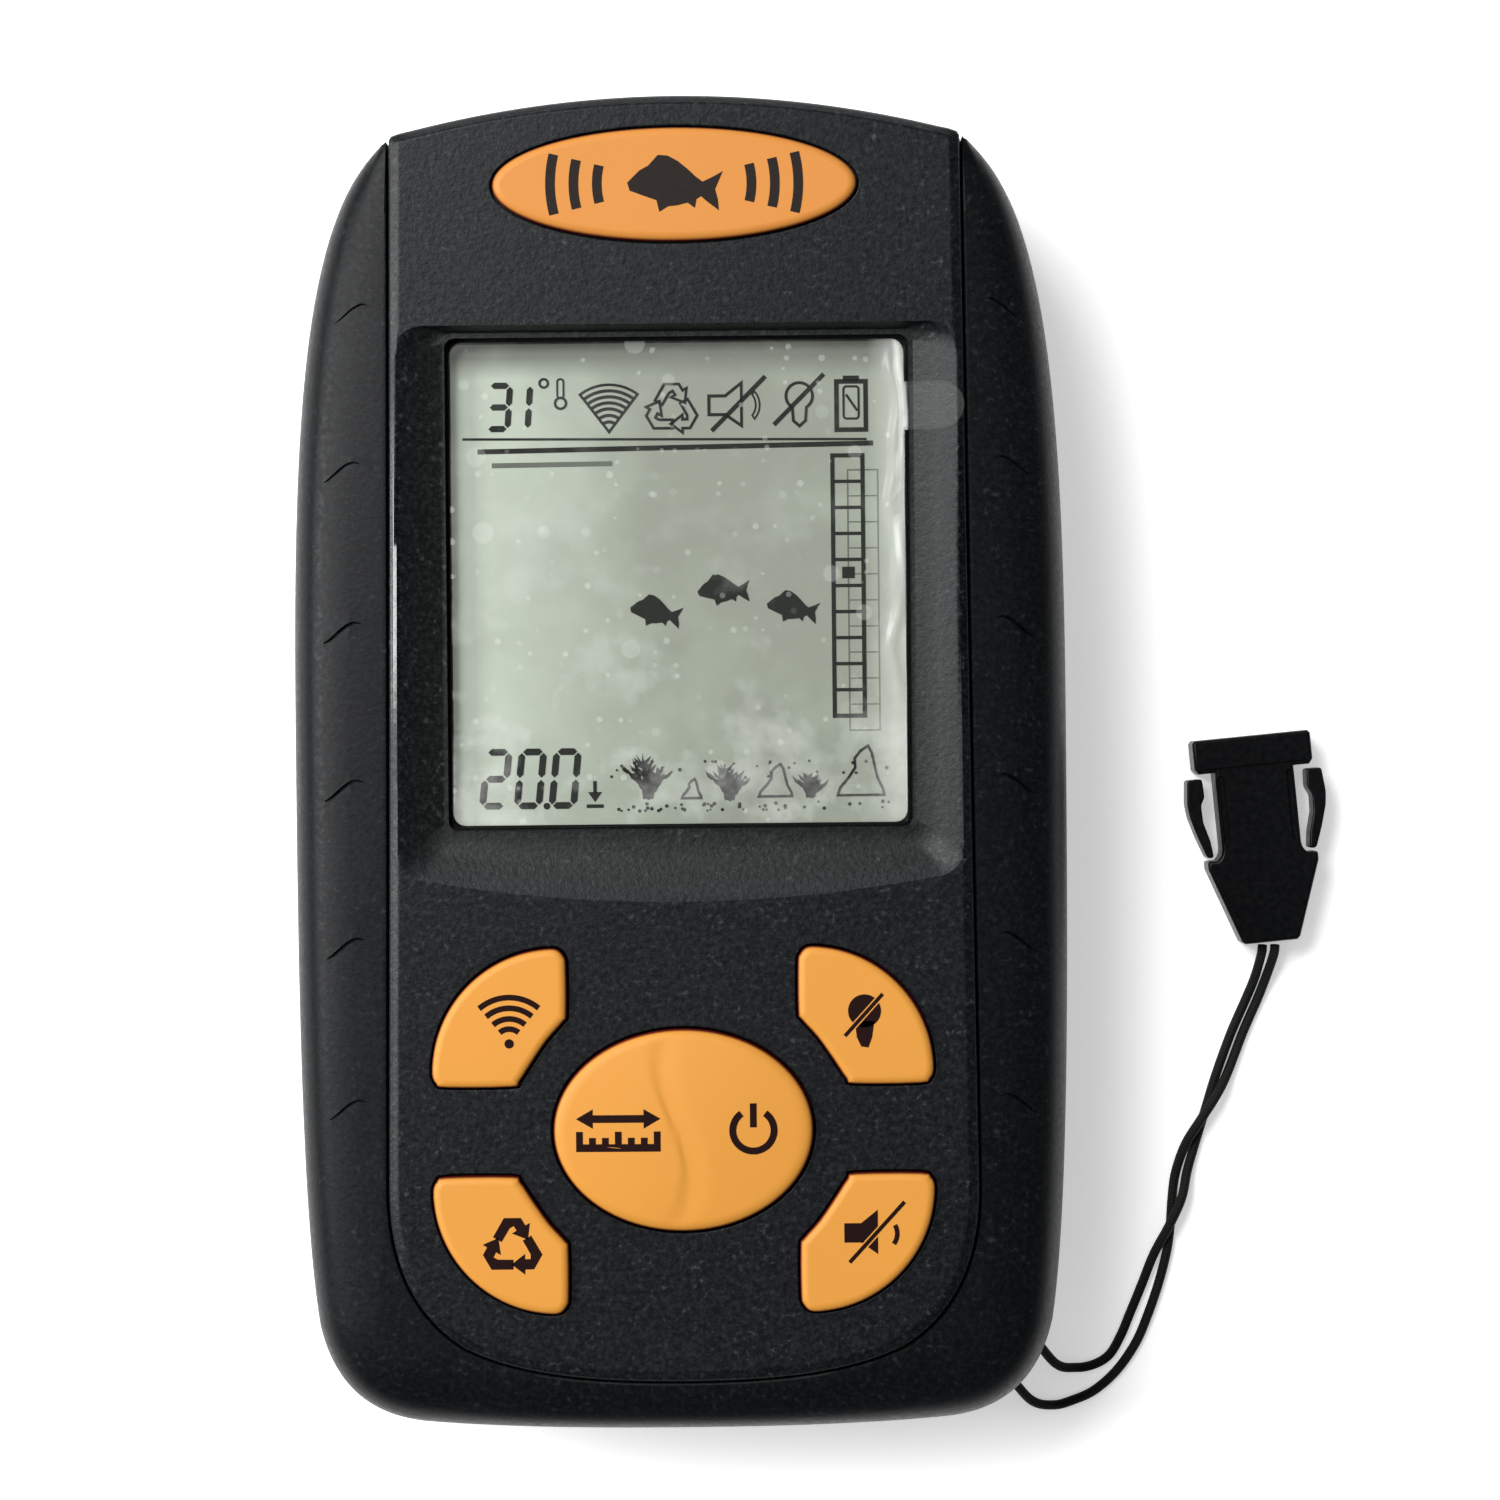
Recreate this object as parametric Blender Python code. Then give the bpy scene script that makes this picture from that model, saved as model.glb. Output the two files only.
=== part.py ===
"""Hand-held wireless fish finder, lying on its back with its wrist-strap cord and clip beside it.

Run with: blender --background --python part.py

The frame: the origin is under the middle of the body, on the surface that the back rests on.
+Z points out of the screen, +Y towards the top of the device, +X to the reader's right.
Every size in this file is in millimetres; the mesh makers turn them into metres.
"""

import math

import bmesh
import bpy
from mathutils import Vector

METRES = 0.001
GAP = 0.3                       # clearance between neighbouring pieces

# Outline of the whole body, seen from the front
BODY_HALF_WIDTH = 38.6
BODY_TOP = 65.9
BODY_BOTTOM = -66.4
TOP_ARC_RADIUS = 105.0
SHOULDER = (28.3, 61.7)         # where a side of the grip meets the top arc
SHOULDER_X = 28.35              # side of the shells above the grip's arms

# Heights, from the back upwards
BACK_FLOOR = 2.0
SKIRT_BOTTOM = 5.0              # the grip skirt starts here
BACK_RIM = 12.8
FRONT_RIM = 14.0
FLANGE_TOP = 22.9               # front shell under the grip
GRIP_TOP = 25.6
PANEL_TOP = 26.5                # centre panel, round the keys
WINDOW_PLANE = 24.9             # bottom of the dished recess round the screen
SKIRT_THICKNESS = 2.3
WALL = 2.0
GROOVE_HALF = 0.35              # half of the groove between centre panel and grip

# Screen
WINDOW_CENTRE_Y = 17.85
WINDOW_WIDTH = 45.9
WINDOW_HEIGHT = 48.7
LENS_SEAT = 23.5
SCREEN_CEILING = 22.7
KEY_CEILING = 24.4

# Badge, keys
BADGE_CENTRE_Y = 57.0
BADGE_SIZE = (35.9, 11.2)
KEYPAD_CENTRE_Y = -36.1
ROCKER_AXES = (12.8, 9.95)
KEY_TOP = 27.4
KEY_CENTRE = (17.8, 10.6)       # of a corner key, from the keypad's centre
ROCKER_PIVOT_Z = 22.5
ROCKER_DOME_X = 8.0

# Battery bay
CELL_RADIUS = 5.2
CELL_LENGTH = 43.6
CELL_PITCH = 10.9
CELL_AXIS_Z = 7.7
BAY_CENTRE_Y = -8.0
BAY_WIDTH = 44.4
BAY_LENGTH = 51.4
BAY_CEILING = 13.4
DOOR_WIDTH = 46.0
DOOR_THICKNESS = 1.9
DOOR_HINGE_Y = 19.6
DOOR_END_Y = -35.6
LATCH_WIDTH = 12.0
LATCH_LENGTH = 7.0

# Boards
PCB_Z = (16.0, 17.2)
CASE_SCREWS = ((29.0, 44.0), (-29.0, 44.0), (29.0, -44.0), (-29.0, -44.0))
PCB_SCREWS = ((20.0, 50.6), (-20.0, 50.6), (6.5, -55.3), (-6.5, -55.3))

# Strap eye in the lower right corner
EYE = Vector((29.95, -58.73))
EYE_OUT = Vector((0.815, -0.58))
EYE_ALONG = Vector((0.58, 0.815))
EYE_Z = (2.4, 8.6)
PIN_RADIUS = 1.2
CORD_DIAMETER = 1.0

# Clip on the end of the cord
CLIP_END = (60.8, -19.2)        # where the cord goes in
CLIP_TILT = math.radians(5.2)
CLIP_Z = (0.2, 4.8)


# ---------------------------------------------------------------- outlines

def bezier(p0, p1, p2, p3, steps):
    """Points of a cubic curve, without its last one."""
    points = []
    for i in range(steps):
        t = i / steps
        s = 1 - t
        weights = (s ** 3, 3 * s * s * t, 3 * s * t * t, t ** 3)
        corners = (p0, p1, p2, p3)
        points.append((
            sum(w * p[0] for w, p in zip(weights, corners)),
            sum(w * p[1] for w, p in zip(weights, corners)),
        ))
    return points


def arc(centre, radius, start, end, steps):
    """Points on a circle between two angles in degrees, both ends included."""
    angles = [math.radians(start + (end - start) * i / steps) for i in range(steps + 1)]
    return [(centre[0] + radius * math.cos(a), centre[1] + radius * math.sin(a)) for a in angles]


def ellipse(centre, axes, steps=36):
    angles = [2 * math.pi * i / steps for i in range(steps)]
    return [(centre[0] + axes[0] * math.cos(a), centre[1] + axes[1] * math.sin(a)) for a in angles]


def circle(centre, radius, steps=16):
    return ellipse(centre, (radius, radius), steps)


def rectangle(centre, size, radius=0.0, steps=3):
    """A rectangle, anticlockwise, with round corners if radius is given."""
    half_x = size[0] / 2 - radius
    half_y = size[1] / 2 - radius
    points = []
    for start, sign_x, sign_y in ((-90, 1, -1), (0, 1, 1), (90, -1, 1), (180, -1, -1)):
        corner = (centre[0] + sign_x * half_x, centre[1] + sign_y * half_y)
        points += arc(corner, radius, start, start + 90, steps) if radius else [corner]
    return points


def both_halves(right):
    """A closed outline from its right half, which runs from bottom centre to top centre."""
    return right + [(-x, y) for x, y in reversed(right[1:-1])]


def normals(points):
    """The outward direction at each point of an anticlockwise outline, with its mitre length."""
    found = []
    for i, point in enumerate(points):
        before = Vector(point) - Vector(points[i - 1])
        after = Vector(points[(i + 1) % len(points)]) - Vector(point)
        one = Vector((before.y, -before.x)).normalized()
        two = Vector((after.y, -after.x)).normalized()
        middle = (one + two).normalized()
        found.append(middle / max(middle.dot(one), 0.5))
    return found


def inset(points, distance):
    """The outline moved inwards by distance, or outwards where it is negative."""
    return [(x - n.x * distance, y - n.y * distance) for (x, y), n in zip(points, normals(points))]


def scaled(points, centre, factor):
    return [(centre[0] + (x - centre[0]) * factor, centre[1] + (y - centre[1]) * factor) for x, y in points]


def clipped(points, direction, limit):
    """The part of a convex outline where position along direction is below limit."""
    kept = []
    for i, here in enumerate(points):
        last = points[i - 1]
        depth = limit - Vector(here).dot(direction)
        depth_before = limit - Vector(last).dot(direction)
        if depth * depth_before < 0:
            share = depth_before / (depth_before - depth)
            kept.append((last[0] + (here[0] - last[0]) * share, last[1] + (here[1] - last[1]) * share))
        if depth >= 0:
            kept.append(here)
    return kept


def top_arc():
    """From the right shoulder to the top centre."""
    points = []
    for i in range(7):
        x = SHOULDER[0] * (1 - i / 6)
        points.append((x, BODY_TOP - x * x / (2 * TOP_ARC_RADIUS)))
    return points


def grip_half():
    """Outer edge of the grip on the right, from bottom centre to the shoulder."""
    bottom = bezier((0, BODY_BOTTOM), (9, BODY_BOTTOM), (18, -66.3), (26, -65.6), 5)
    corner = bezier((26, -65.6), (32, -65.0), (35.4, -61.6), (36.7, -55.8), 7)
    lower = bezier((36.7, -55.8), (38.55, -44), (BODY_HALF_WIDTH, -18), (BODY_HALF_WIDTH, 6), 6)
    upper = bezier((BODY_HALF_WIDTH, 6), (BODY_HALF_WIDTH, 39), (36.6, 57.4), SHOULDER, 9)
    return bottom + corner + lower + upper + [SHOULDER]


def groove_half():
    """Middle of the groove round the centre panel, point for point beside grip_half."""
    bottom = bezier((0, -61.3), (8, -61.3), (16, -60.8), (21.8, -57.9), 5)
    corner = bezier((21.8, -57.9), (26.5, -55), (29.45, -50), (29.45, -42), 7)
    side = [(29.45, -42), (29.4, -34), (29.33, -26), (29.25, -18), (29.15, -10), (29.07, -2)]
    outer = grip_half()[18:]
    return bottom + corner + side + [(28.99 - 0.009 * (y - 6), y) for _, y in outer]


def body_outline():
    return both_halves(grip_half() + top_arc())


def top_edge():
    """The top arc, just short of the shoulder so that the groove has a side."""
    return [(min(x, 27.9), y) for x, y in top_arc()]


def panel_half():
    """The centre panel: inside the groove, and out to the body's own arc at the top."""
    facing = normals(both_halves(groove_half() + top_arc()))
    inner = [(x - n.x * GROOVE_HALF, y - n.y * GROOVE_HALF) for (x, y), n in zip(groove_half()[:12], facing)]
    return inner + [(x - GROOVE_HALF, y) for x, y in groove_half()[12:]] + top_edge()


def waist_half():
    """Both shells under the grip skirt, which fits round them."""
    moved = inset(body_outline(), SKIRT_THICKNESS + GAP)
    side = []
    for (x, y), (_, outer_y) in zip(moved, grip_half()):
        above = outer_y > 40 and x < SHOULDER_X
        side.append((SHOULDER_X, outer_y) if above else (x, y))
    return [(0, side[0][1])] + side[1:] + top_edge()


def hollow(half, depth):
    """The room inside a shell's outline, with one plain corner at each shoulder."""
    side = [p for p in half if p[1] < 55.5]
    corner = [(SHOULDER_X, 58.5), (SHOULDER_X, 61.9)]
    return inset(both_halves(side + corner + [p for p in top_arc() if p[0] < 24]), depth)


def corner_key():
    """The upper right key, from the keypad's centre; the others are its mirror images."""
    points = [(16.9, 4.4), (23.3, 4.4), (24.3, 4.8), (24.7, 5.8)]
    points += arc((12.5, 5.8), 12.2, 10, 85, 8)
    points += [(12.3, 17.9), (11.6, 17.2), (11.4, 16.2), (11.4, 11.6), (11.7, 10.8)]
    points += [(13.3, 9.0), (14.9, 6.7), (16.1, 4.9)]
    return points


def mirrored(points, sign_x, sign_y):
    """The key outline in another corner, kept anticlockwise and moved to the keypad."""
    moved = [(sign_x * x, KEYPAD_CENTRE_Y + sign_y * y) for x, y in points]
    return moved if sign_x * sign_y > 0 else moved[::-1]


# ---------------------------------------------------------------- makers

def material(name, colour, roughness, metallic=0.0):
    made = bpy.data.materials.new(name)
    made.use_nodes = True
    shader = made.node_tree.nodes["Principled BSDF"]
    shader.inputs["Base Color"].default_value = (*colour, 1.0)
    shader.inputs["Roughness"].default_value = roughness
    shader.inputs["Metallic"].default_value = metallic
    return made


def placed(name, mesh_builder, finish=None, origin=(0, 0, 0)):
    """An object whose origin is at origin, from a bmesh in millimetres; no finish means a cutter."""
    bmesh.ops.remove_doubles(mesh_builder, verts=mesh_builder.verts, dist=0.001)
    bmesh.ops.recalc_face_normals(mesh_builder, faces=mesh_builder.faces)
    bmesh.ops.translate(mesh_builder, verts=mesh_builder.verts, vec=-Vector(origin))
    bmesh.ops.scale(mesh_builder, verts=mesh_builder.verts, vec=(METRES,) * 3)
    mesh = bpy.data.meshes.new(name)
    mesh_builder.to_mesh(mesh)
    mesh_builder.free()
    mesh.shade_smooth()
    mesh.set_sharp_from_angle(angle=math.radians(30))
    made = bpy.data.objects.new(name, mesh)
    made.location = Vector(origin) * METRES
    bpy.context.collection.objects.link(made)
    if finish:
        mesh.materials.append(finish)
    else:
        made.hide_render = True
        made.display_type = "WIRE"
    return made


def ring_of_faces(builder, lower, upper):
    for i in range(len(lower)):
        j = (i + 1) % len(lower)
        builder.faces.new((lower[i], lower[j], upper[j], upper[i]))


def loft(name, levels, finish=None, origin=(0, 0, 0)):
    """A closed solid through outlines at rising heights, each with the same number of points."""
    builder = bmesh.new()
    rings = [[builder.verts.new((x, y, z)) for x, y in outline] for outline, z in levels]
    for lower, upper in zip(rings, rings[1:]):
        ring_of_faces(builder, lower, upper)
    builder.faces.new(list(reversed(rings[0])))
    builder.faces.new(rings[-1])
    return placed(name, builder, finish, origin)


def prism(name, outline, low, high, finish=None, origin=(0, 0, 0)):
    return loft(name, [(outline, low), (outline, high)], finish, origin)


def box(name, low, high, finish=None, origin=(0, 0, 0)):
    centre = ((low[0] + high[0]) / 2, (low[1] + high[1]) / 2)
    size = (high[0] - low[0], high[1] - low[1])
    return prism(name, rectangle(centre, size), low[2], high[2], finish, origin)


def along_y(name, profile, start, end, finish=None, origin=(0, 0, 0)):
    """A profile given as (x, z) points, drawn out along Y."""
    builder = bmesh.new()
    rings = [[builder.verts.new((x, y, z)) for x, z in profile] for y in (start, end)]
    ring_of_faces(builder, *rings)
    builder.faces.new(list(reversed(rings[0])))
    builder.faces.new(rings[1])
    return placed(name, builder, finish, origin)


def along_x(name, profile, start, end, finish=None, origin=(0, 0, 0)):
    """A profile given as (y, z) points, drawn out along X."""
    builder = bmesh.new()
    rings = [[builder.verts.new((x, y, z)) for y, z in profile] for x in (start, end)]
    ring_of_faces(builder, *rings)
    builder.faces.new(list(reversed(rings[0])))
    builder.faces.new(rings[1])
    return placed(name, builder, finish, origin)


def boolean(target, tool, operation):
    modifier = target.modifiers.new(tool.name, "BOOLEAN")
    modifier.operation = operation
    modifier.solver = "EXACT"
    modifier.object = tool


def cut(target, *tools):
    for tool in tools:
        boolean(target, tool, "DIFFERENCE")


def join(target, *tools):
    for tool in tools:
        boolean(target, tool, "UNION")


def tube(name, points, radius, finish, sides=2):
    """A round wire or cord along a smooth line through the given points."""
    curve = bpy.data.curves.new(name, "CURVE")
    curve.dimensions = "3D"
    curve.bevel_depth = radius * METRES
    curve.bevel_resolution = sides
    curve.use_fill_caps = True
    spline = curve.splines.new("POLY")
    smooth = smooth_line([Vector(p) for p in points], 4 * radius)
    spline.points.add(len(smooth) - 1)
    for slot, point in zip(spline.points, smooth):
        slot.co = (*(point * METRES), 1.0)
    curve.materials.append(finish)
    made = bpy.data.objects.new(name, curve)
    bpy.context.collection.objects.link(made)
    return made


def smooth_line(points, spacing):
    """Points about spacing apart on the smooth curve through points."""
    ends = [2 * points[0] - points[1]] + points + [2 * points[-1] - points[-2]]
    line = []
    for before, start, end, after in zip(ends, ends[1:], ends[2:], ends[3:]):
        steps = max(1, round((end - start).length / spacing))
        for i in range(steps):
            t = i / steps
            line.append(0.5 * (
                2 * start
                + (end - before) * t
                + (2 * before - 5 * start + 4 * end - after) * t ** 2
                + (3 * start - before - 3 * end + after) * t ** 3
            ))
    return line + [points[-1]]


# ---------------------------------------------------------------- the casing

def recess_outline(width, bottom, sag, top, radius):
    """Round-cornered outline of the dished recess; its lower edge sags by sag."""
    half = width / 2 - radius
    points = []
    for i in range(7):
        x = -half + 2 * half * i / 6
        points.append((x, bottom - sag * (1 - (x / half) ** 2)))
    points += arc((half, bottom + radius), radius, -72, 0, 3)
    points += arc((half, top - radius), radius, 0, 90, 3)
    points += arc((-half, top - radius), radius, 90, 180, 3)
    points += arc((-half, bottom + radius), radius, 180, 252, 3)
    return points


def make_front_shell(finish):
    panel = both_halves(panel_half())
    waist = both_halves(waist_half())
    shell = loft("front_shell", [
        (waist, FRONT_RIM), (waist, FLANGE_TOP), (panel, FLANGE_TOP), (panel, PANEL_TOP - 0.5),
        (inset(panel, 0.2), PANEL_TOP - 0.15), (inset(panel, 0.6), PANEL_TOP),
    ], finish)
    under_keys = clipped(hollow(panel_half(), WALL + 0.2), Vector((0, 1)), -14.8)
    cut(shell, prism("front_hollow", hollow(waist_half(), WALL), FRONT_RIM - 1, FLANGE_TOP - WALL))
    cut(shell, prism("screen_room", hollow(panel_half(), WALL), FLANGE_TOP - WALL - 1, SCREEN_CEILING))
    cut(shell, prism("key_room", under_keys, SCREEN_CEILING - 1, KEY_CEILING))
    window = (0, WINDOW_CENTRE_Y)
    low = WINDOW_CENTRE_Y - WINDOW_HEIGHT / 2
    high = WINDOW_CENTRE_Y + WINDOW_HEIGHT / 2
    dish_top = recess_outline(55.8, -11.4, 2.2, 43.3, 3.0)
    dish_bottom = recess_outline(WINDOW_WIDTH + 0.9, low - 0.5, 0.0, high + 0.5, 1.2)
    slope = 0.1 / (PANEL_TOP - WINDOW_PLANE)
    raised = [(a + (a - c) * slope, b + (b - d) * slope) for (a, b), (c, d) in zip(dish_top, dish_bottom)]
    cut(shell, loft("screen_dish", [(dish_bottom, WINDOW_PLANE), (raised, PANEL_TOP + 0.1)]))
    seat = rectangle(window, (WINDOW_WIDTH, WINDOW_HEIGHT), 1.0)
    opening = rectangle(window, (WINDOW_WIDTH - 1.9, WINDOW_HEIGHT - 1.9), 0.8)
    cut(shell, prism("lens_seat", seat, LENS_SEAT, 28), prism("screen_opening", opening, 20, 28))
    badge = ellipse((0, BADGE_CENTRE_Y), (BADGE_SIZE[0] / 2 + 0.4, BADGE_SIZE[1] / 2 + 0.4))
    cut(shell, prism("badge_pocket", badge, PANEL_TOP - 0.9, 28))
    for x, y in CASE_SCREWS:
        post = f"post_{x:.0f}_{y:.0f}"
        join(shell, prism(post, circle((x, y), 2.8), FRONT_RIM + 0.2, 21.5))
        cut(shell, prism(post + "_hole", circle((x, y), 1.35, 12), 13, 19.8))
    for i, (x, y) in enumerate(PCB_SCREWS):
        join(shell, prism(f"board_post_{i}", circle((x, y), 2.2, 12), PCB_Z[1] + 0.3, 24.9))
        cut(shell, prism(f"board_post_hole_{i}", circle((x, y), 1.05, 10), 17, 22.2))
    for name, sign_x, sign_y in CORNER_KEYS:
        outline = inset(mirrored(corner_key(), sign_x, sign_y), -0.4)
        cut(shell, prism(name + "_opening", outline, 23, 28))
    rocker = ellipse((0, KEYPAD_CENTRE_Y), (ROCKER_AXES[0] + 0.4, ROCKER_AXES[1] + 0.4), 44)
    cut(shell, prism("rocker_opening", rocker, 23, 28))


def make_grip(finish):
    """A U-shaped skin: skirt round the shells and a rounded shoulder up to the groove."""
    outer = grip_half()[:-1]
    groove = groove_half()[:-1]
    facing = normals(body_outline())
    stations = []
    for (ox, oy), (gx, gy), n in zip(outer, groove, facing):
        edge = Vector((ox, oy))
        lip = Vector((gx, gy)) + Vector((n.x, n.y)) * GROOVE_HALF
        width = (edge - lip).length
        skirt = edge - n * SKIRT_THICKNESS
        near_tip = oy > 40 and skirt.x < lip.x
        skirt = Vector((lip.x, oy)) if near_tip else skirt
        round_off = min(1.0, width / 5.0)
        stations.append([
            (edge - n * 0.7 * round_off, SKIRT_BOTTOM + GAP),
            (edge, SKIRT_BOTTOM + 2.2),
            (edge, 19.5),
            (edge - n * 0.45 * round_off, 21.8),
            (edge - n * 1.5 * round_off, 23.8),
            (edge - n * 3.1 * round_off, 25.1),
            (lip + n * 0.25 * round_off, GRIP_TOP),
            (lip, GRIP_TOP - 0.25),
            (lip, FLANGE_TOP + GAP),
            (skirt, FLANGE_TOP + GAP),
            (skirt, SKIRT_BOTTOM + GAP),
        ])
    left = [[(Vector((-p.x, p.y)), z) for p, z in station] for station in stations[1:]]
    course = left[::-1] + stations
    builder = bmesh.new()
    rings = [[builder.verts.new((p.x, p.y, z)) for p, z in station] for station in course]
    for one, two in zip(rings, rings[1:]):
        ring_of_faces(builder, one, two)
    builder.faces.new(rings[0])
    builder.faces.new(list(reversed(rings[-1])))
    grip = placed("grip_bumper", builder, finish)
    cut(grip, eye_room("eye_room_in_grip"))


def eye_room(name):
    """The strap eye's pocket: a block of space round the pin, open at the corner."""
    inner = EYE - EYE_OUT * 3.0
    outer = EYE + EYE_OUT * 9.0
    half = EYE_ALONG * 4.3
    corners = [inner - half, outer - half, outer + half, inner + half]
    return prism(name, [tuple(c) for c in corners], *EYE_Z)


def make_back_shell(finish):
    body = body_outline()
    waist = both_halves(waist_half())
    shell = loft("back_shell", [
        (inset(body, 3.6), 0), (inset(body, 1.7), 0.7), (inset(body, 0.5), 2.2), (body, 4.0),
        (body, SKIRT_BOTTOM), (waist, SKIRT_BOTTOM), (waist, BACK_RIM),
    ], finish)
    room = clipped(hollow(waist_half(), WALL), EYE_OUT, EYE.dot(EYE_OUT) - 4.8)
    cut(shell, prism("back_hollow", room, BACK_FLOOR, BACK_RIM + 1))
    bay = (0, BAY_CENTRE_Y)
    join(shell, prism("bay_walls", rectangle(bay, (BAY_WIDTH + 4, BAY_LENGTH + 5)), 1.0, BAY_CEILING + 1.2))
    cut(shell, prism("bay_room", rectangle(bay, (BAY_WIDTH, BAY_LENGTH)), -1, BAY_CEILING))
    door_room = (0, (DOOR_HINGE_Y + DOOR_END_Y) / 2)
    door_size = (DOOR_WIDTH + 2 * GAP, DOOR_HINGE_Y - DOOR_END_Y + 2 * 1.3)
    cut(shell, prism("door_room", rectangle(door_room, door_size, 1.0), -1, 2.3))
    for side in (-1, 1):
        low = (min(side * 22.5, side * 25.0), DOOR_HINGE_Y - 0.95, 0.4)
        high = (max(side * 22.5, side * 25.0), DOOR_HINGE_Y + 0.95, 2.4)
        cut(shell, box(f"hinge_slot_{side}", low, high))
    for side in (-1, 1):
        x = side * 1.5 * CELL_PITCH
        cut(shell, box(f"tag_slot_{side}", (x - 1.9, 17.0, 7.0), (x + 1.9, 21.0, 8.4)))
    for x, y in CASE_SCREWS:
        post = f"back_post_{x:.0f}_{y:.0f}"
        join(shell, prism(post, circle((x, y), 3.2), 1, BACK_RIM - 0.1))
        cut(shell, prism(post + "_hole", circle((x, y), 1.35, 12), 3, 14))
        cut(shell, prism(post + "_counterbore", circle((x, y), 2.4), -1, 4.2))
    cut(shell, eye_room("eye_room_in_back"))
    cut(shell, prism("pin_hole", circle(EYE, PIN_RADIUS + GAP, 12), 1.2, 10.2))


def make_gasket(finish):
    """The rubber ring between the two rims."""
    low = BACK_RIM + GAP
    high = FRONT_RIM - GAP
    ring = prism("case_gasket", hollow(waist_half(), 0.5), low, high, finish)
    cut(ring, prism("gasket_middle", hollow(waist_half(), 1.7), low - 1, high + 1))


def make_badge(finish):
    """The raised oval badge above the screen."""
    centre = (0, BADGE_CENTRE_Y)
    outline = ellipse(centre, (BADGE_SIZE[0] / 2, BADGE_SIZE[1] / 2))
    base = PANEL_TOP - 0.6
    loft("badge", [
        (outline, base), (outline, PANEL_TOP + 0.1), (inset(outline, 0.35), PANEL_TOP + 0.45),
        (inset(outline, 1.1), PANEL_TOP + 0.7),
    ], finish)


# ---------------------------------------------------------------- the screen

def make_screen(lens, film, glass, white, frame, rubber, amber):
    centre = (0, WINDOW_CENTRE_Y)
    pane = rectangle(centre, (WINDOW_WIDTH - 2 * GAP, WINDOW_HEIGHT - 2 * GAP), 0.8)
    loft("lens_window", [
        (pane, LENS_SEAT + GAP), (pane, WINDOW_PLANE - 0.25), (inset(pane, 0.25), WINDOW_PLANE),
    ], lens)
    sheet = prism("screen_film", rectangle(centre, (WINDOW_WIDTH, WINDOW_HEIGHT), 0.8), 25.2, 25.4, film)
    # The pull tab lies up the right-hand slope of the dish.
    tab = [(20.5, 25.22), (23.0, 25.22), (28.6, 27.1), (28.6, 27.32), (23.0, 25.38), (20.5, 25.38)]
    join(sheet, along_y("film_tab", tab, 32.4, 37.6))
    glass_size = (47.8, 51.4)
    prism("lcd_cell", rectangle(centre, glass_size, 0.5), 20.7, 22.2, glass)
    box("lcd_backlight", (-23.9, -5.4, 18.0), (23.9, 40.4, 20.3), white)
    box("zebra_strip", (-22.0, 41.2, 17.6), (22.0, 43.2, 20.3), rubber)
    box("led_strip", (-12.0, -7.6, 18.0), (12.0, -5.8, 19.4), amber)
    holder = prism("lcd_holder", rectangle(centre, (51.8, 55.4), 1.2), 17.5, 22.3, frame)
    cut(holder, prism("holder_room", rectangle(centre, (48.5, 52.1)), 17, 23))


# ---------------------------------------------------------------- the keypad

CORNER_KEYS = (
    ("key_sonar", -1, 1),
    ("key_light", 1, 1),
    ("key_loop", -1, -1),
    ("key_mute", 1, -1),
)


def key_levels(outline, centre):
    """A plunger, a retaining flange and a rounded cap."""
    plunger = scaled(outline, centre, 0.3)
    flange = inset(outline, -0.9)
    return [
        (plunger, 21.1), (plunger, 22.5), (flange, 22.5), (flange, 23.7), (outline, 23.7),
        (outline, KEY_TOP - 0.9), (inset(outline, 0.3), KEY_TOP - 0.3), (inset(outline, 1.0), KEY_TOP),
    ]


def dome(name, x, y, finish):
    """The springy silicone dome under a key."""
    loft(name, [
        (circle((x, y), 3.6, 14), 18.8), (circle((x, y), 3.2, 14), 19.4), (circle((x, y), 2.0, 14), 20.8),
    ], finish)


def make_keys(finish, silicone):
    for name, sign_x, sign_y in CORNER_KEYS:
        centre = (sign_x * KEY_CENTRE[0], KEYPAD_CENTRE_Y + sign_y * KEY_CENTRE[1])
        outline = mirrored(corner_key(), sign_x, sign_y)
        loft(name, key_levels(outline, centre), finish, (*centre, KEY_TOP))
        dome(name.replace("key", "dome"), *centre, silicone)
    pad = (0, KEYPAD_CENTRE_Y)
    oval = ellipse(pad, ROCKER_AXES, 44)
    loft("key_rocker", [
        (scaled(oval, pad, 0.86), 21.1), (scaled(oval, pad, 0.86), 22.5), (inset(oval, -0.9), 22.5),
        (inset(oval, -0.9), 23.7), (oval, 23.7), (oval, KEY_TOP - 0.8), (inset(oval, 0.35), KEY_TOP - 0.2),
        (inset(oval, 1.4), KEY_TOP + 0.2), (inset(oval, 4.5), KEY_TOP + 0.5),
    ], finish, (*pad, ROCKER_PIVOT_Z))
    dome("dome_rocker_left", -ROCKER_DOME_X, KEYPAD_CENTRE_Y, silicone)
    dome("dome_rocker_right", ROCKER_DOME_X, KEYPAD_CENTRE_Y, silicone)
    prism("keypad_mat", rectangle((0, -33.6), (49.0, 37.8), 3.0), 17.5, 18.5, silicone)


# ---------------------------------------------------------------- electronics

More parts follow.
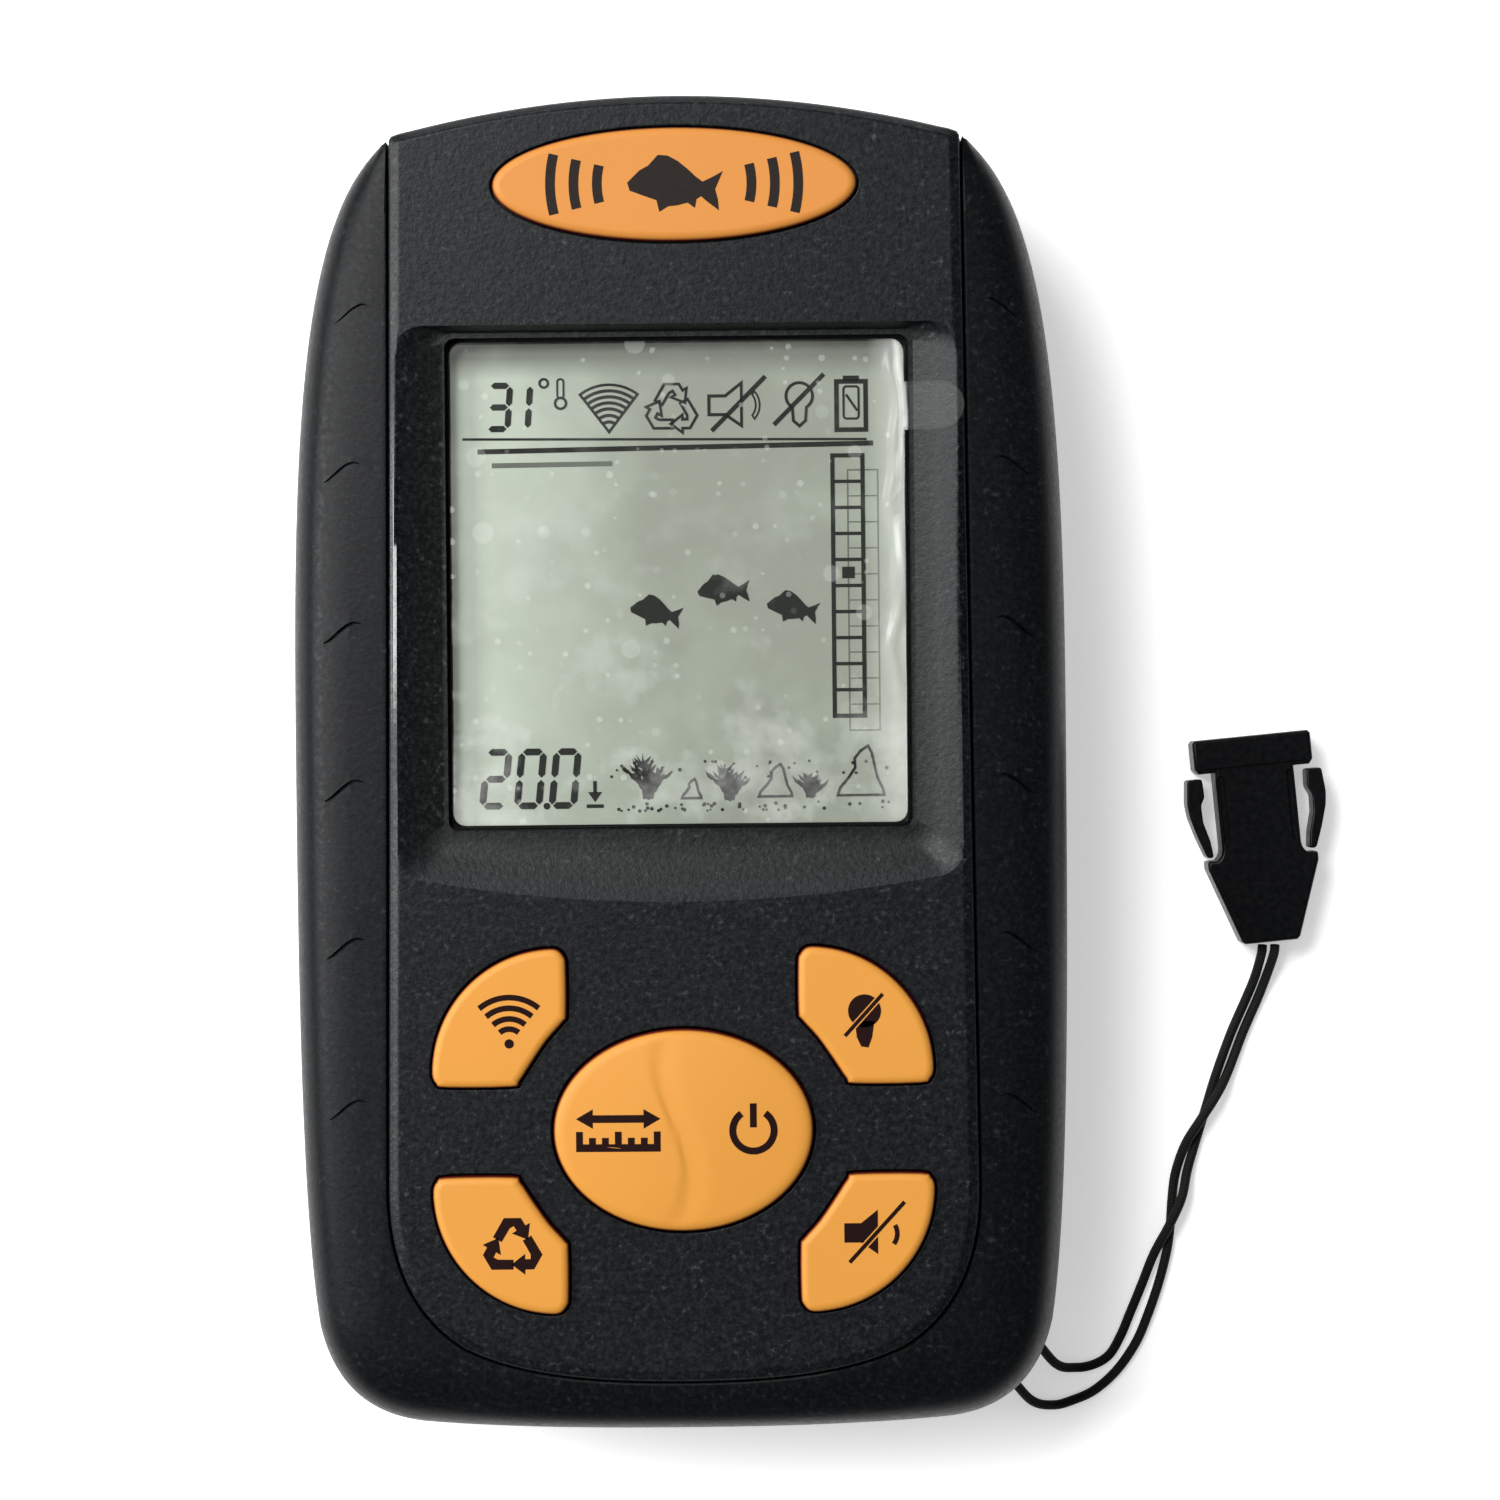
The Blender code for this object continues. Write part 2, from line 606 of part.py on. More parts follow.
def make_board(green, black, steel, tan, copper):
    board = prism("main_pcb", rectangle((0, -2.0), (51.0, 112.0), 7.0), *PCB_Z, green)
    for i, (x, y) in enumerate(PCB_SCREWS):
        cut(board, prism(f"board_hole_{i}", circle((x, y), 1.4, 12), 15, 18))
    loft("buzzer", [
        (circle((-13, 34), 5.8, 20), 11.2), (circle((-13, 34), 6.2, 20), 11.6), (circle((-13, 34), 6.2, 20), 15.7),
    ], black)
    prism("mcu_chip", rectangle((9, -46), (10, 10), 0.4, 1), 14.4, 15.7, black)
    loft("crystal_can", [
        (inset(rectangle((-8, -46), (10.5, 4.4), 2.1), 0.4), 12.4), (rectangle((-8, -46), (10.5, 4.4), 2.1), 12.8),
        (rectangle((-8, -46), (10.5, 4.4), 2.1), 15.7),
    ], steel)
    loft("rf_module", [
        (rectangle((10, 36), (15.4, 19.4), 0.6, 1), 12.9), (rectangle((10, 36), (16, 20), 0.6, 1), 13.2),
        (rectangle((10, 36), (16, 20), 0.6, 1), 15.7),
    ], steel)
    tube("antenna", [
        (10, 49, 13.2), (10, 52, 12.6), (8, 55.5, 12.0), (2, 57.6, 12.0), (-6, 57.8, 12.0), (-16, 57.0, 12.0),
    ], 0.6, copper)


def wire(name, sign, finish):
    """From a battery contact's tag up to the underside of the board."""
    x = sign * 1.5 * CELL_PITCH
    tube(name, [
        (x, 21.7, 7.8), (x, 23.2, 8.0), (x - sign, 24.6, 9.6), (x - sign, 24.8, 12.0), (x, 24.4, 14.2), (x, 24.4, 15.7),
    ], 0.55, finish)


# ---------------------------------------------------------------- battery bay

def make_cells(finish):
    """Four AAA cells side by side, the positive ends turned about by turns."""
    for i in range(4):
        x = (i - 1.5) * CELL_PITCH
        up = 1 if i % 2 == 0 else -1
        profile = [
            (0.0, -CELL_LENGTH / 2), (4.4, -CELL_LENGTH / 2), (CELL_RADIUS, -CELL_LENGTH / 2 + 0.6),
            (CELL_RADIUS, CELL_LENGTH / 2 - 0.6), (4.6, CELL_LENGTH / 2), (1.9, CELL_LENGTH / 2),
            (1.9, CELL_LENGTH / 2 + 0.9), (0.0, CELL_LENGTH / 2 + 0.9),
        ]
        builder = bmesh.new()
        sides = 20
        rings = []
        for radius, along in profile[1:-1]:
            ring = []
            for k in range(sides):
                turn = 2 * math.pi * k / sides
                ring.append(builder.verts.new((
                    x + radius * math.cos(turn), BAY_CENTRE_Y + up * along, CELL_AXIS_Z + radius * math.sin(turn)
                )))
            rings.append(ring)
        for one, two in zip(rings, rings[1:]):
            ring_of_faces(builder, one, two)
        builder.faces.new(rings[0])
        builder.faces.new(rings[-1])
        placed(f"aaa_cell_{i + 1}", builder, finish)


def coil_spring(name, x, start, end):
    """A conical contact spring along Y, as one round wire."""
    turns = 3
    per_turn = 9
    wire_radius = 0.35
    centres = []
    for i in range(turns * per_turn + 1):
        share = i / (turns * per_turn)
        turn = 2 * math.pi * turns * share
        radius = 3.4 - 1.4 * share
        centres.append(Vector((
            x + radius * math.cos(turn), start + (end - start) * share, CELL_AXIS_Z + radius * math.sin(turn)
        )))
    builder = bmesh.new()
    rings = []
    for i, centre in enumerate(centres):
        forward = (centres[min(i + 1, len(centres) - 1)] - centres[max(i - 1, 0)]).normalized()
        side = forward.cross(Vector((0, 1, 0))).normalized()
        up = side.cross(forward)
        ring = []
        for k in range(5):
            turn = 2 * math.pi * k / 5
            ring.append(builder.verts.new(centre + wire_radius * (side * math.cos(turn) + up * math.sin(turn))))
        rings.append(ring)
    for one, two in zip(rings, rings[1:]):
        ring_of_faces(builder, one, two)
    builder.faces.new(rings[0])
    builder.faces.new(rings[-1])
    return placed(name, builder)


def contact(name, columns, up, sprung, tagged, finish):
    """A plate across the given cells' ends at the bay's upper or lower end, with springs for minus ends."""
    inner = BAY_CENTRE_Y + up * BAY_LENGTH / 2
    near = inner - up * 0.35
    far = inner - up * 0.85
    xs = [(c - 1.5) * CELL_PITCH for c in columns]
    low = (min(xs) - 4.2, min(near, far), CELL_AXIS_Z - 4.0)
    high = (max(xs) + 4.2, max(near, far), CELL_AXIS_Z + 4.0)
    plate = box(name, low, high, finish)
    for c in sprung:
        x = (c - 1.5) * CELL_PITCH
        end = BAY_CENTRE_Y + up * (CELL_LENGTH / 2 + GAP + 0.45)
        join(plate, coil_spring(f"{name}_spring_{c}", x, (near + far) / 2, end))
    for c in tagged:
        x = (c - 1.5) * CELL_PITCH
        join(plate, box(f"{name}_tag_{c}", (x - 1.4, near - 0.3, 7.35), (x + 1.4, 21.3, 8.05)))


def make_contacts(finish):
    """Cells are numbered from the left; 1 and 3 have their plus end towards the top."""
    contact("contact_positive", [0], 1, [], [0], finish)
    contact("contact_negative", [3], 1, [3], [3], finish)
    contact("contact_bridge_1", [0, 1], -1, [0], [], finish)
    contact("contact_bridge_2", [1, 2], 1, [1], [], finish)
    contact("contact_bridge_3", [2, 3], -1, [2], [], finish)


def make_door(finish):
    """The battery door: a plate with a rounded hinge edge, stub pins and a notch for its latch."""
    radius = DOOR_THICKNESS / 2
    rounded_end = arc((DOOR_HINGE_Y, radius), radius, 90, -90, 6)
    profile = [(DOOR_END_Y, 0.0), (DOOR_END_Y, DOOR_THICKNESS)] + rounded_end
    hinge = (0, DOOR_HINGE_Y, radius)
    half = DOOR_WIDTH / 2
    door = along_x("battery_door", profile, -half, half, finish, hinge)
    stub = [(DOOR_HINGE_Y + 0.55 * math.cos(a), radius + 0.55 * math.sin(a)) for a in
            [2 * math.pi * k / 10 for k in range(10)]]
    join(door, along_x("hinge_stubs", stub, -half - 1.4, half + 1.4))
    notch = LATCH_WIDTH / 2 + GAP
    cut(door, box("latch_notch", (-notch, DOOR_END_Y - 1, -1), (notch, DOOR_END_Y + LATCH_LENGTH + GAP, 3)))
    for side in (-1, 1):
        x = side * 17.0
        low = (x - 2.4, -30, -1)
        high = (x + 2.4, -28.6, 0.5)
        cut(door, box(f"finger_groove_{side}", low, high))


def make_latch(finish):
    """The springy tongue in the end of the door, pressed with a fingertip."""
    root_y = DOOR_END_Y + LATCH_LENGTH
    half = LATCH_WIDTH / 2
    profile = [
        (DOOR_END_Y + 0.2, 0.1), (DOOR_END_Y + 0.2, 1.7), (DOOR_END_Y + 1.2, 1.7), (DOOR_END_Y + 1.6, 1.1),
        (root_y, 1.1), (root_y, 0.1), (DOOR_END_Y + 3.4, 0.1), (DOOR_END_Y + 2.7, 0.4), (DOOR_END_Y + 2.0, 0.1),
    ]
    along_x("door_latch", profile, -half, half, finish, (0, root_y, 0.6))


# ---------------------------------------------------------------- fasteners

def make_screws(finish):
    for i, (x, y) in enumerate(CASE_SCREWS):
        loft(f"case_screw_{i + 1}", [
            (circle((x, y), 1.5, 14), 2.2), (circle((x, y), 2.0, 14), 2.6), (circle((x, y), 2.0, 14), 3.9),
            (circle((x, y), 1.0, 14), 3.9), (circle((x, y), 1.0, 14), 18.6), (circle((x, y), 0.4, 14), 19.4),
        ], finish)
    for i, (x, y) in enumerate(PCB_SCREWS):
        loft(f"pcb_screw_{i + 1}", [
            (circle((x, y), 1.2, 12), 14.3), (circle((x, y), 1.7, 12), 14.7), (circle((x, y), 1.7, 12), 15.7),
            (circle((x, y), 0.7, 12), 15.7), (circle((x, y), 0.7, 12), 21.2), (circle((x, y), 0.3, 12), 21.8),
        ], finish)


# ---------------------------------------------------------------- strap

def eye_point(out, along, z):
    spot = EYE + EYE_OUT * out + EYE_ALONG * along
    return (spot.x, spot.y, z)


CORD_A = [
    eye_point(-1.9, 0.6, 5.4), eye_point(-1.2, 1.7, 5.4), eye_point(0.4, 2.2, 5.3), eye_point(2.6, 2.25, 4.9),
    eye_point(5.2, 2.3, 4.2), (38.2, -63.1, 2.1), (40.4, -63.7, 0.8), (42.3, -63.4, 0.6), (43.9, -62.4, 0.6),
    (45.1, -60.4, 0.6), (46.0, -58.3, 0.6), (47.3, -55.2, 0.65), (48.6, -51.9, 1.0), (50.2, -48.8, 1.75),
    (51.5, -46.0, 1.7), (52.2, -43.2, 0.9), (53.0, -40.6, 0.6), (54.1, -37.1, 0.6), (55.3, -33.3, 0.6),
    (56.9, -29.0, 0.6), (58.5, -25.4, 0.65), (59.4, -23.1, 1.2), (60.0, -20.6, 2.3), (60.1, -19.6, 2.5),
]
CORD_B = [
    eye_point(-1.9, -0.6, 5.4), eye_point(-1.2, -1.7, 5.4), eye_point(0.4, -2.2, 5.3), eye_point(2.6, -2.25, 4.8),
    eye_point(5.4, -2.4, 3.9), (35.6, -66.9, 1.9), (38.0, -67.6, 0.75), (40.1, -67.1, 0.6), (42.3, -66.1, 0.6),
    (44.6, -64.1, 0.6), (46.6, -61.3, 0.6), (47.9, -58.4, 0.6), (49.1, -55.0, 0.6), (50.0, -51.6, 0.6),
    (50.4, -48.8, 0.6), (50.6, -46.2, 0.6), (51.0, -43.4, 0.65), (52.0, -40.4, 1.35), (53.6, -37.8, 1.75),
    (55.3, -35.2, 1.7), (56.5, -33.0, 0.95), (58.2, -28.8, 0.6), (59.8, -25.2, 0.65), (60.6, -23.0, 1.2),
    (61.3, -20.6, 2.3), (61.4, -19.6, 2.5),
]


def clip_points(points):
    """From the clip's own frame, its cord end at the origin and its head up, to where it lies."""
    cos, sin = math.cos(CLIP_TILT), math.sin(CLIP_TILT)
    return [(CLIP_END[0] + u * cos - v * sin, CLIP_END[1] + u * sin + v * cos) for u, v in points]


def make_clip(finish):
    """A small snap-in strap clip: T-head, tongue and body in one, and two springy side arms."""
    half = [
        (0, 0), (3.0, 0), (5.75, 8.1), (5.75, 8.9), (4.7, 8.9), (4.4, 9.3), (4.1, 9.8), (4.1, 18.0), (5.8, 18.0),
        (6.15, 18.5), (6.15, 21.5), (0, 21.5),
    ]
    outline = clip_points(both_halves(half))
    low, high = CLIP_Z
    loft("clip_body", [
        (inset(outline, 0.25), low), (outline, low + 0.4), (outline, high - 0.4), (inset(outline, 0.25), high),
    ], finish)
    arm = [
        (5.0, 9.25), (5.7, 9.25), (6.5, 11.5), (7.1, 13.6), (7.25, 15.0), (7.0, 17.5), (5.45, 17.5), (5.35, 15.6),
        (5.8, 14.8), (5.75, 13.0), (5.2, 11.0),
    ]
    for name, side in (("clip_arm_right", 1), ("clip_arm_left", -1)):
        points = arm if side > 0 else [(-u, v) for u, v in reversed(arm)]
        outline = clip_points(points)
        root = clip_points([(side * 5.35, 9.25)])[0]
        loft(name, [
            (inset(outline, 0.15), low + 0.5), (outline, low + 0.8), (outline, high - 0.8),
            (inset(outline, 0.15), high - 0.5),
        ], finish, (*root, (low + high) / 2))


def make_strap(steel, cord, plastic):
    prism("strap_pin", circle(EYE, PIN_RADIUS, 12), 1.5, 9.9, steel)
    tube("strap_cord_a", CORD_A, CORD_DIAMETER / 2, cord)
    tube("strap_cord_b", CORD_B, CORD_DIAMETER / 2, cord)
    make_clip(plastic)


# ---------------------------------------------------------------- the whole

def clear_scene():
    for old in list(bpy.data.objects):
        bpy.data.objects.remove(old, do_unlink=True)


def main():
    clear_scene()
    speckled = material("speckled charcoal plastic", (0.035, 0.040, 0.043), 0.55)
    grip = material("matte grip plastic", (0.022, 0.025, 0.025), 0.62)
    backing = material("black back plastic", (0.020, 0.021, 0.023), 0.60)
    orange = material("orange key rubber", (0.87, 0.39, 0.09), 0.50)
    badge = material("orange badge", (0.83, 0.33, 0.09), 0.45)
    lens = material("clear window", (0.75, 0.78, 0.74), 0.10)
    film = material("protective film", (0.85, 0.88, 0.86), 0.15)
    glass = material("liquid crystal cell", (0.30, 0.34, 0.27), 0.25)
    white = material("light guide", (0.80, 0.82, 0.80), 0.40)
    frame = material("screen holder", (0.55, 0.55, 0.52), 0.60)
    rubber = material("black rubber", (0.02, 0.02, 0.02), 0.80)
    amber = material("backlight diodes", (0.90, 0.75, 0.35), 0.40)
    silicone = material("grey silicone", (0.30, 0.31, 0.32), 0.70)
    green = material("circuit board", (0.02, 0.18, 0.07), 0.45)
    chip = material("component black", (0.015, 0.015, 0.017), 0.50)
    steel = material("nickel steel", (0.60, 0.60, 0.60), 0.30, 1.0)
    copper = material("copper wire", (0.75, 0.38, 0.20), 0.30, 1.0)
    cell = material("cell wrapper", (0.10, 0.16, 0.30), 0.35)
    red = material("red wire", (0.55, 0.02, 0.02), 0.50)
    black = material("black wire", (0.012, 0.012, 0.012), 0.50)
    cord = material("black strap cord", (0.02, 0.024, 0.022), 0.80)
    clip = material("clip plastic", (0.030, 0.032, 0.036), 0.45)
    make_front_shell(speckled)
    make_grip(grip)
    make_back_shell(backing)
    make_gasket(rubber)
    make_badge(badge)
    make_screen(lens, film, glass, white, frame, rubber, amber)
    make_keys(orange, silicone)
    make_board(green, chip, steel, frame, copper)
    wire("wire_red", -1, red)
    wire("wire_black", 1, black)
    make_cells(cell)
    make_contacts(steel)
    make_door(backing)
    make_latch(backing)
    make_screws(steel)
    make_strap(steel, cord, clip)


main()
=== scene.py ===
import math
import random

import bmesh
import bpy
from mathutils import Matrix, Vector
from mathutils.noise import noise


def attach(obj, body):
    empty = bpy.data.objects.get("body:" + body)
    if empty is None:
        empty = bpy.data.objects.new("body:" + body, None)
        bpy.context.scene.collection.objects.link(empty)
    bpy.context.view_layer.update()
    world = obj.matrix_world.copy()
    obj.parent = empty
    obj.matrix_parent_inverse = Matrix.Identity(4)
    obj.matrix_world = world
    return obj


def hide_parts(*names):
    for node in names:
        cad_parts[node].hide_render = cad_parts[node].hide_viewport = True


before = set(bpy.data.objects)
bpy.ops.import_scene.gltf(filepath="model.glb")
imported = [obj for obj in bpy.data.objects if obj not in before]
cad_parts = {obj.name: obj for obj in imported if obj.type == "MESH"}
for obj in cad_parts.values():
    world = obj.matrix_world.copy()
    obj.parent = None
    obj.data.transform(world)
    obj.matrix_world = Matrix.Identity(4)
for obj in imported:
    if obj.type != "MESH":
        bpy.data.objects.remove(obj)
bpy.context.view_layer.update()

# Shapes are in millimetres until a mesh is made; light, camera and materials are in metres.
MM = 0.001
GAP = 0.3


# ---------------------------------------------------------------- camera and light

def set_camera():
    """Straight down over the device and its clip, with a small roll."""
    data = bpy.data.cameras.new("camera")
    data.lens = 100
    data.sensor_width = 36
    data.clip_start = 0.01
    camera = bpy.data.objects.new("camera", data)
    camera.location = (0.00691, 0.00123, 0.4367)
    camera.rotation_euler = (0, 0, math.radians(-0.57))
    bpy.context.scene.collection.objects.link(camera)
    bpy.context.scene.camera = camera


def area_light(name, spot, target, side, energy):
    """A square light at spot that faces target."""
    data = bpy.data.lights.new(name, "AREA")
    data.shape = "RECTANGLE"
    data.size, data.size_y = side, side
    data.energy = energy
    light = bpy.data.objects.new(name, data)
    light.location = spot
    aim = Vector(target) - Vector(spot)
    light.rotation_euler = aim.to_track_quat("-Z", "Y").to_euler()
    bpy.context.scene.collection.objects.link(light)


def set_world():
    """A studio that is bright round the floor, most of all to the upper left, and dark overhead."""
    world = bpy.data.worlds.new("studio")
    world.use_nodes = True
    tree = world.node_tree
    direction = tree.nodes.new("ShaderNodeTexCoord").outputs["Generated"]
    parts = tree.nodes.new("ShaderNodeSeparateXYZ")
    tree.links.new(direction, parts.inputs[0])
    towards = tree.nodes.new("ShaderNodeVectorMath")
    towards.operation = "DOT_PRODUCT"
    towards.inputs[1].default_value = (-0.80, 0.60, 0.0)
    tree.links.new(direction, towards.inputs[0])

    def ramp(value, *limits):
        node = tree.nodes.new("ShaderNodeMapRange")
        node.interpolation_type = "SMOOTHSTEP"
        for key, number in zip(("From Min", "From Max", "To Min", "To Max"), limits):
            node.inputs[key].default_value = number
        tree.links.new(value, node.inputs["Value"])
        return node.outputs["Result"]

    total = tree.nodes.new("ShaderNodeMath")
    total.operation = "MULTIPLY"
    tree.links.new(ramp(parts.outputs["Z"], 0.15, 0.75, 1.0, 0.035), total.inputs[0])
    tree.links.new(ramp(towards.outputs["Value"], -0.7, 0.8, 0.21, 0.28), total.inputs[1])
    background = tree.nodes["Background"]
    background.inputs["Color"].default_value = (0.97, 0.985, 1.0, 1.0)
    tree.links.new(total.outputs[0], background.inputs["Strength"])
    bpy.context.scene.world = world


def set_light():
    """A large light to the upper left, a small one at the left and an even one without reflections."""
    set_world()
    area_light("window_light", (-0.34, 0.34, 0.76), (0, 0, 0.02), 0.36, 7.0)
    area_light("strip_light", (-0.52, 0.045, 0.42), (0, 0.02, 0.02), 0.17, 3.2)
    sun = bpy.data.lights.new("even_light", "SUN")
    sun.energy = 0.9
    sun.angle = math.radians(100)
    even = bpy.data.objects.new("even_light", sun)
    even.rotation_euler = (math.radians(-14), math.radians(-14), 0)
    even.visible_glossy = False
    bpy.context.scene.collection.objects.link(even)
    bpy.context.scene.view_settings.view_transform = "Standard"


# ---------------------------------------------------------------- outlines

def bezier(p0, p1, p2, p3, steps):
    """Points of a cubic curve, without its last one."""
    points = []
    for i in range(steps):
        t = i / steps
        s = 1 - t
        weights = (s ** 3, 3 * s * s * t, 3 * s * t * t, t ** 3)
        points.append(tuple(sum(w * p[k] for w, p in zip(weights, (p0, p1, p2, p3))) for k in (0, 1)))
    return points


def arc(centre, radius, start, end, steps):
    """Points of an arc, with both its ends. Angles are in degrees."""
    angles = [math.radians(start + (end - start) * i / steps) for i in range(steps + 1)]
    return [(centre[0] + radius * math.cos(a), centre[1] + radius * math.sin(a)) for a in angles]


def ellipse(centre, axes, steps=96):
    angles = [2 * math.pi * i / steps for i in range(steps)]
    return [(centre[0] + axes[0] * math.cos(a), centre[1] + axes[1] * math.sin(a)) for a in angles]


def circle(centre, radius, steps=32):
    return ellipse(centre, (radius, radius), steps)


def rectangle(centre, size, radius=0.0, steps=6):
    half_x = size[0] / 2 - radius
    half_y = size[1] / 2 - radius
    points = []
    for start, sign_x, sign_y in ((-90, 1, -1), (0, 1, 1), (90, -1, 1), (180, -1, -1)):
        corner = (centre[0] + sign_x * half_x, centre[1] + sign_y * half_y)
        points += arc(corner, radius, start, start + 90, steps) if radius else [corner]
    return points


def both_halves(right):
    """A closed outline from its right half, which starts and ends on the middle line."""
    return right + [(-x, y) for x, y in reversed(right[1:-1])]


def normals(points):
    """Outward directions at the points. Points that coincide share one direction."""
    vectors = [Vector(p) for p in points]
    count = len(vectors)
    found = []
    for i, here in enumerate(vectors):
        back = next((k for k in range(1, count) if (here - vectors[i - k]).length > 1e-5), 1)
        ahead = next((k for k in range(1, count) if (vectors[(i + k) % count] - here).length > 1e-5), 1)
        before = here - vectors[i - back]
        after = vectors[(i + ahead) % count] - here
        one = Vector((before.y, -before.x)).normalized()
        two = Vector((after.y, -after.x)).normalized()
        middle = (one + two).normalized()
        found.append(middle / max(middle.dot(one), 0.5))
    return found


def inset(points, distance):
    """The outline moved inwards by distance. A corner too tight for it closes to one point."""
    steps = max(1, math.ceil(distance / 0.2))
    for _ in range(steps):
        facing = normals(points)
        moved = [Vector(p) - n * (distance / steps) for p, n in zip(points, facing)]
        for i, here in enumerate(moved):
            edge = Vector(points[i]) - Vector(points[i - 1])
            if distance > 0 and edge.dot(here - moved[i - 1]) < 0:
                middle = (here + moved[i - 1]) / 2
                moved[i], moved[i - 1] = middle, middle
        points = [tuple(p) for p in moved]
    return points


def clipped(points, direction, limit):
    """The part of a convex outline where position along direction is below limit."""
    kept = []
    for i, here in enumerate(points):
        last = points[i - 1]
        depth = limit - Vector(here).dot(direction)
        depth_before = limit - Vector(last).dot(direction)
        if depth * depth_before < 0:
            share = depth_before / (depth_before - depth)
            kept.append((last[0] + (here[0] - last[0]) * share, last[1] + (here[1] - last[1]) * share))
        if depth >= 0:
            kept.append(here)
    return kept


def spline_point(before, start, end, after, t):
    """A point of the smooth curve through start and end."""
    return 0.5 * (
        2 * start
        + (end - before) * t
        + (2 * before - 5 * start + 4 * end - after) * t ** 2
        + (3 * start - before - 3 * end + after) * t ** 3
    )


def smooth_line(points, spacing):
    """Points about spacing apart on the smooth curve through points."""
    ends = [2 * points[0] - points[1]] + points + [2 * points[-1] - points[-2]]
    line = []
    for before, start, end, after in zip(ends, ends[1:], ends[2:], ends[3:]):
        steps = max(1, round((end - start).length / spacing))
        line += [spline_point(before, start, end, after, i / steps) for i in range(steps)]
    return line + [points[-1]]


def smooth_closed(points, steps):
    """A closed outline through the same points, with steps points for each one."""
    vectors = [Vector(p) for p in points]
    count = len(vectors)
    line = []
    for i in range(count):
        four = [vectors[(i + k) % count] for k in (-1, 0, 1, 2)]
        line += [tuple(spline_point(*four, k / steps)) for k in range(steps)]
    return line


# ---------------------------------------------------------------- the body's outlines

FINE = 4                         # outline points for each one in the CAD
BOTTOM_STEPS = 5 * FINE          # points in each stretch of the body's edge and of the groove
CORNER_STEPS = 7 * FINE
LOWER_STEPS = 6 * FINE
UPPER_STEPS = 9 * FINE
TOP_STEPS = 6 * FINE
TOP_ARC_RADIUS = 105.0
BODY_HALF_WIDTH = 38.6
WIDEST_Y = 6                     # where the body is widest
BODY_TOP = 65.9
SHOULDER = (28.3, 61.7)
SHOULDER_X = 28.35
FLANGE_TOP = 22.9
GRIP_TOP = 25.6
PANEL_TOP = 26.5
WINDOW_PLANE = 24.9
LENS_SEAT = 23.5
FILM_HEIGHT = 25.2
ABOVE = 28                       # a height clear of the whole device, for cutters
SKIRT_BOTTOM = 5.0
SKIRT_THICKNESS = 2.3
GROOVE_HALF = 0.35               # from the middle of the groove to the panel
LIP_OFFSET = -0.12               # the grip's lip beside the groove, from the middle of the groove
WALL = 2.0
FRONT_RIM = 14.0
BACK_RIM = 12.8
WINDOW_CENTRE_Y = 17.85
WINDOW = (45.9, 48.7)
BADGE_CENTRE = (0, 57.0)
BADGE_AXES = (17.95, 5.6)
KEYPAD_CENTRE_Y = -36.1
ROCKER_AXES = (12.8, 9.95)
KEY_TOP = 27.4
PLUNGER_BOTTOM = 21.93
ROCKER_BOTTOM = 21.65
ROCKER_ROUND = 0.75
KEY_FLANGE = (22.5, 23.7, 0.9)   # low, high and how far it stands out from the key
EYE = Vector((29.95, -58.73))
EYE_OUT = Vector((0.815, -0.58))
EYE_ALONG = Vector((0.58, 0.815))


def top_arc_height(x):
    return BODY_TOP - x * x / (2 * TOP_ARC_RADIUS)


def top_arc():
    """The upper edge from the right shoulder to the middle."""
    across = [SHOULDER[0] * (1 - i / TOP_STEPS) for i in range(TOP_STEPS + 1)]
    return [(x, top_arc_height(x)) for x in across]


def grip_half():
    """The body's right edge, from the middle of the lower end up to the shoulder."""
    widest = (BODY_HALF_WIDTH, WIDEST_Y)
    bottom = bezier((0, -66.4), (9, -66.4), (18, -66.3), (26, -65.6), BOTTOM_STEPS)
    corner = bezier((26, -65.6), (32, -65.0), (35.4, -61.6), (36.7, -55.8), CORNER_STEPS)
    lower = bezier((36.7, -55.8), (38.55, -44), (BODY_HALF_WIDTH, -18), widest, LOWER_STEPS)
    upper = bezier(widest, (BODY_HALF_WIDTH, 39), (36.6, 57.4), SHOULDER, UPPER_STEPS)
    return bottom + corner + lower + upper + [SHOULDER]


def groove_half():
    """The middle of the groove on the right, point for point beside grip_half."""
    bottom = bezier((0, -61.3), (8, -61.3), (16, -60.8), (21.8, -57.9), BOTTOM_STEPS)
    corner = bezier((21.8, -57.9), (26.5, -55), (29.45, -50), (29.45, -42), CORNER_STEPS)
    lower = bezier((29.45, -42), (29.4, -34), (29.1, -10), (28.99, WIDEST_Y), LOWER_STEPS)
    outer = grip_half()[BOTTOM_STEPS + CORNER_STEPS + LOWER_STEPS:]
    return bottom + corner + lower + [(28.99 - 0.009 * (y - WIDEST_Y), y) for _, y in outer]


def body_outline():
    return both_halves(grip_half() + top_arc())


def top_edge():
    """The top arc, with its end just inside the shoulder."""
    return [(min(x, 27.9), y) for x, y in top_arc()]


def panel_half():
    """The panel's right edge, inside the groove and up to the top arc."""
    facing = normals(both_halves(groove_half() + top_arc()))
    round_stretch = BOTTOM_STEPS + CORNER_STEPS
    start = groove_half()[:round_stretch]
    inner = [(x - n.x * GROOVE_HALF, y - n.y * GROOVE_HALF) for (x, y), n in zip(start, facing)]
    return inner + [(x - GROOVE_HALF, y) for x, y in groove_half()[round_stretch:]] + top_edge()


def waist_half():
    """The casing's right edge where the skirt of the grip wraps it."""
    moved = inset(body_outline(), SKIRT_THICKNESS + GAP)
    side = []
    for (x, y), (_, outer_y) in zip(moved, grip_half()):
        above = outer_y > 40 and x < SHOULDER_X
        side.append((SHOULDER_X, outer_y) if above else (x, y))
    return [(0, side[0][1])] + side[1:] + top_edge()


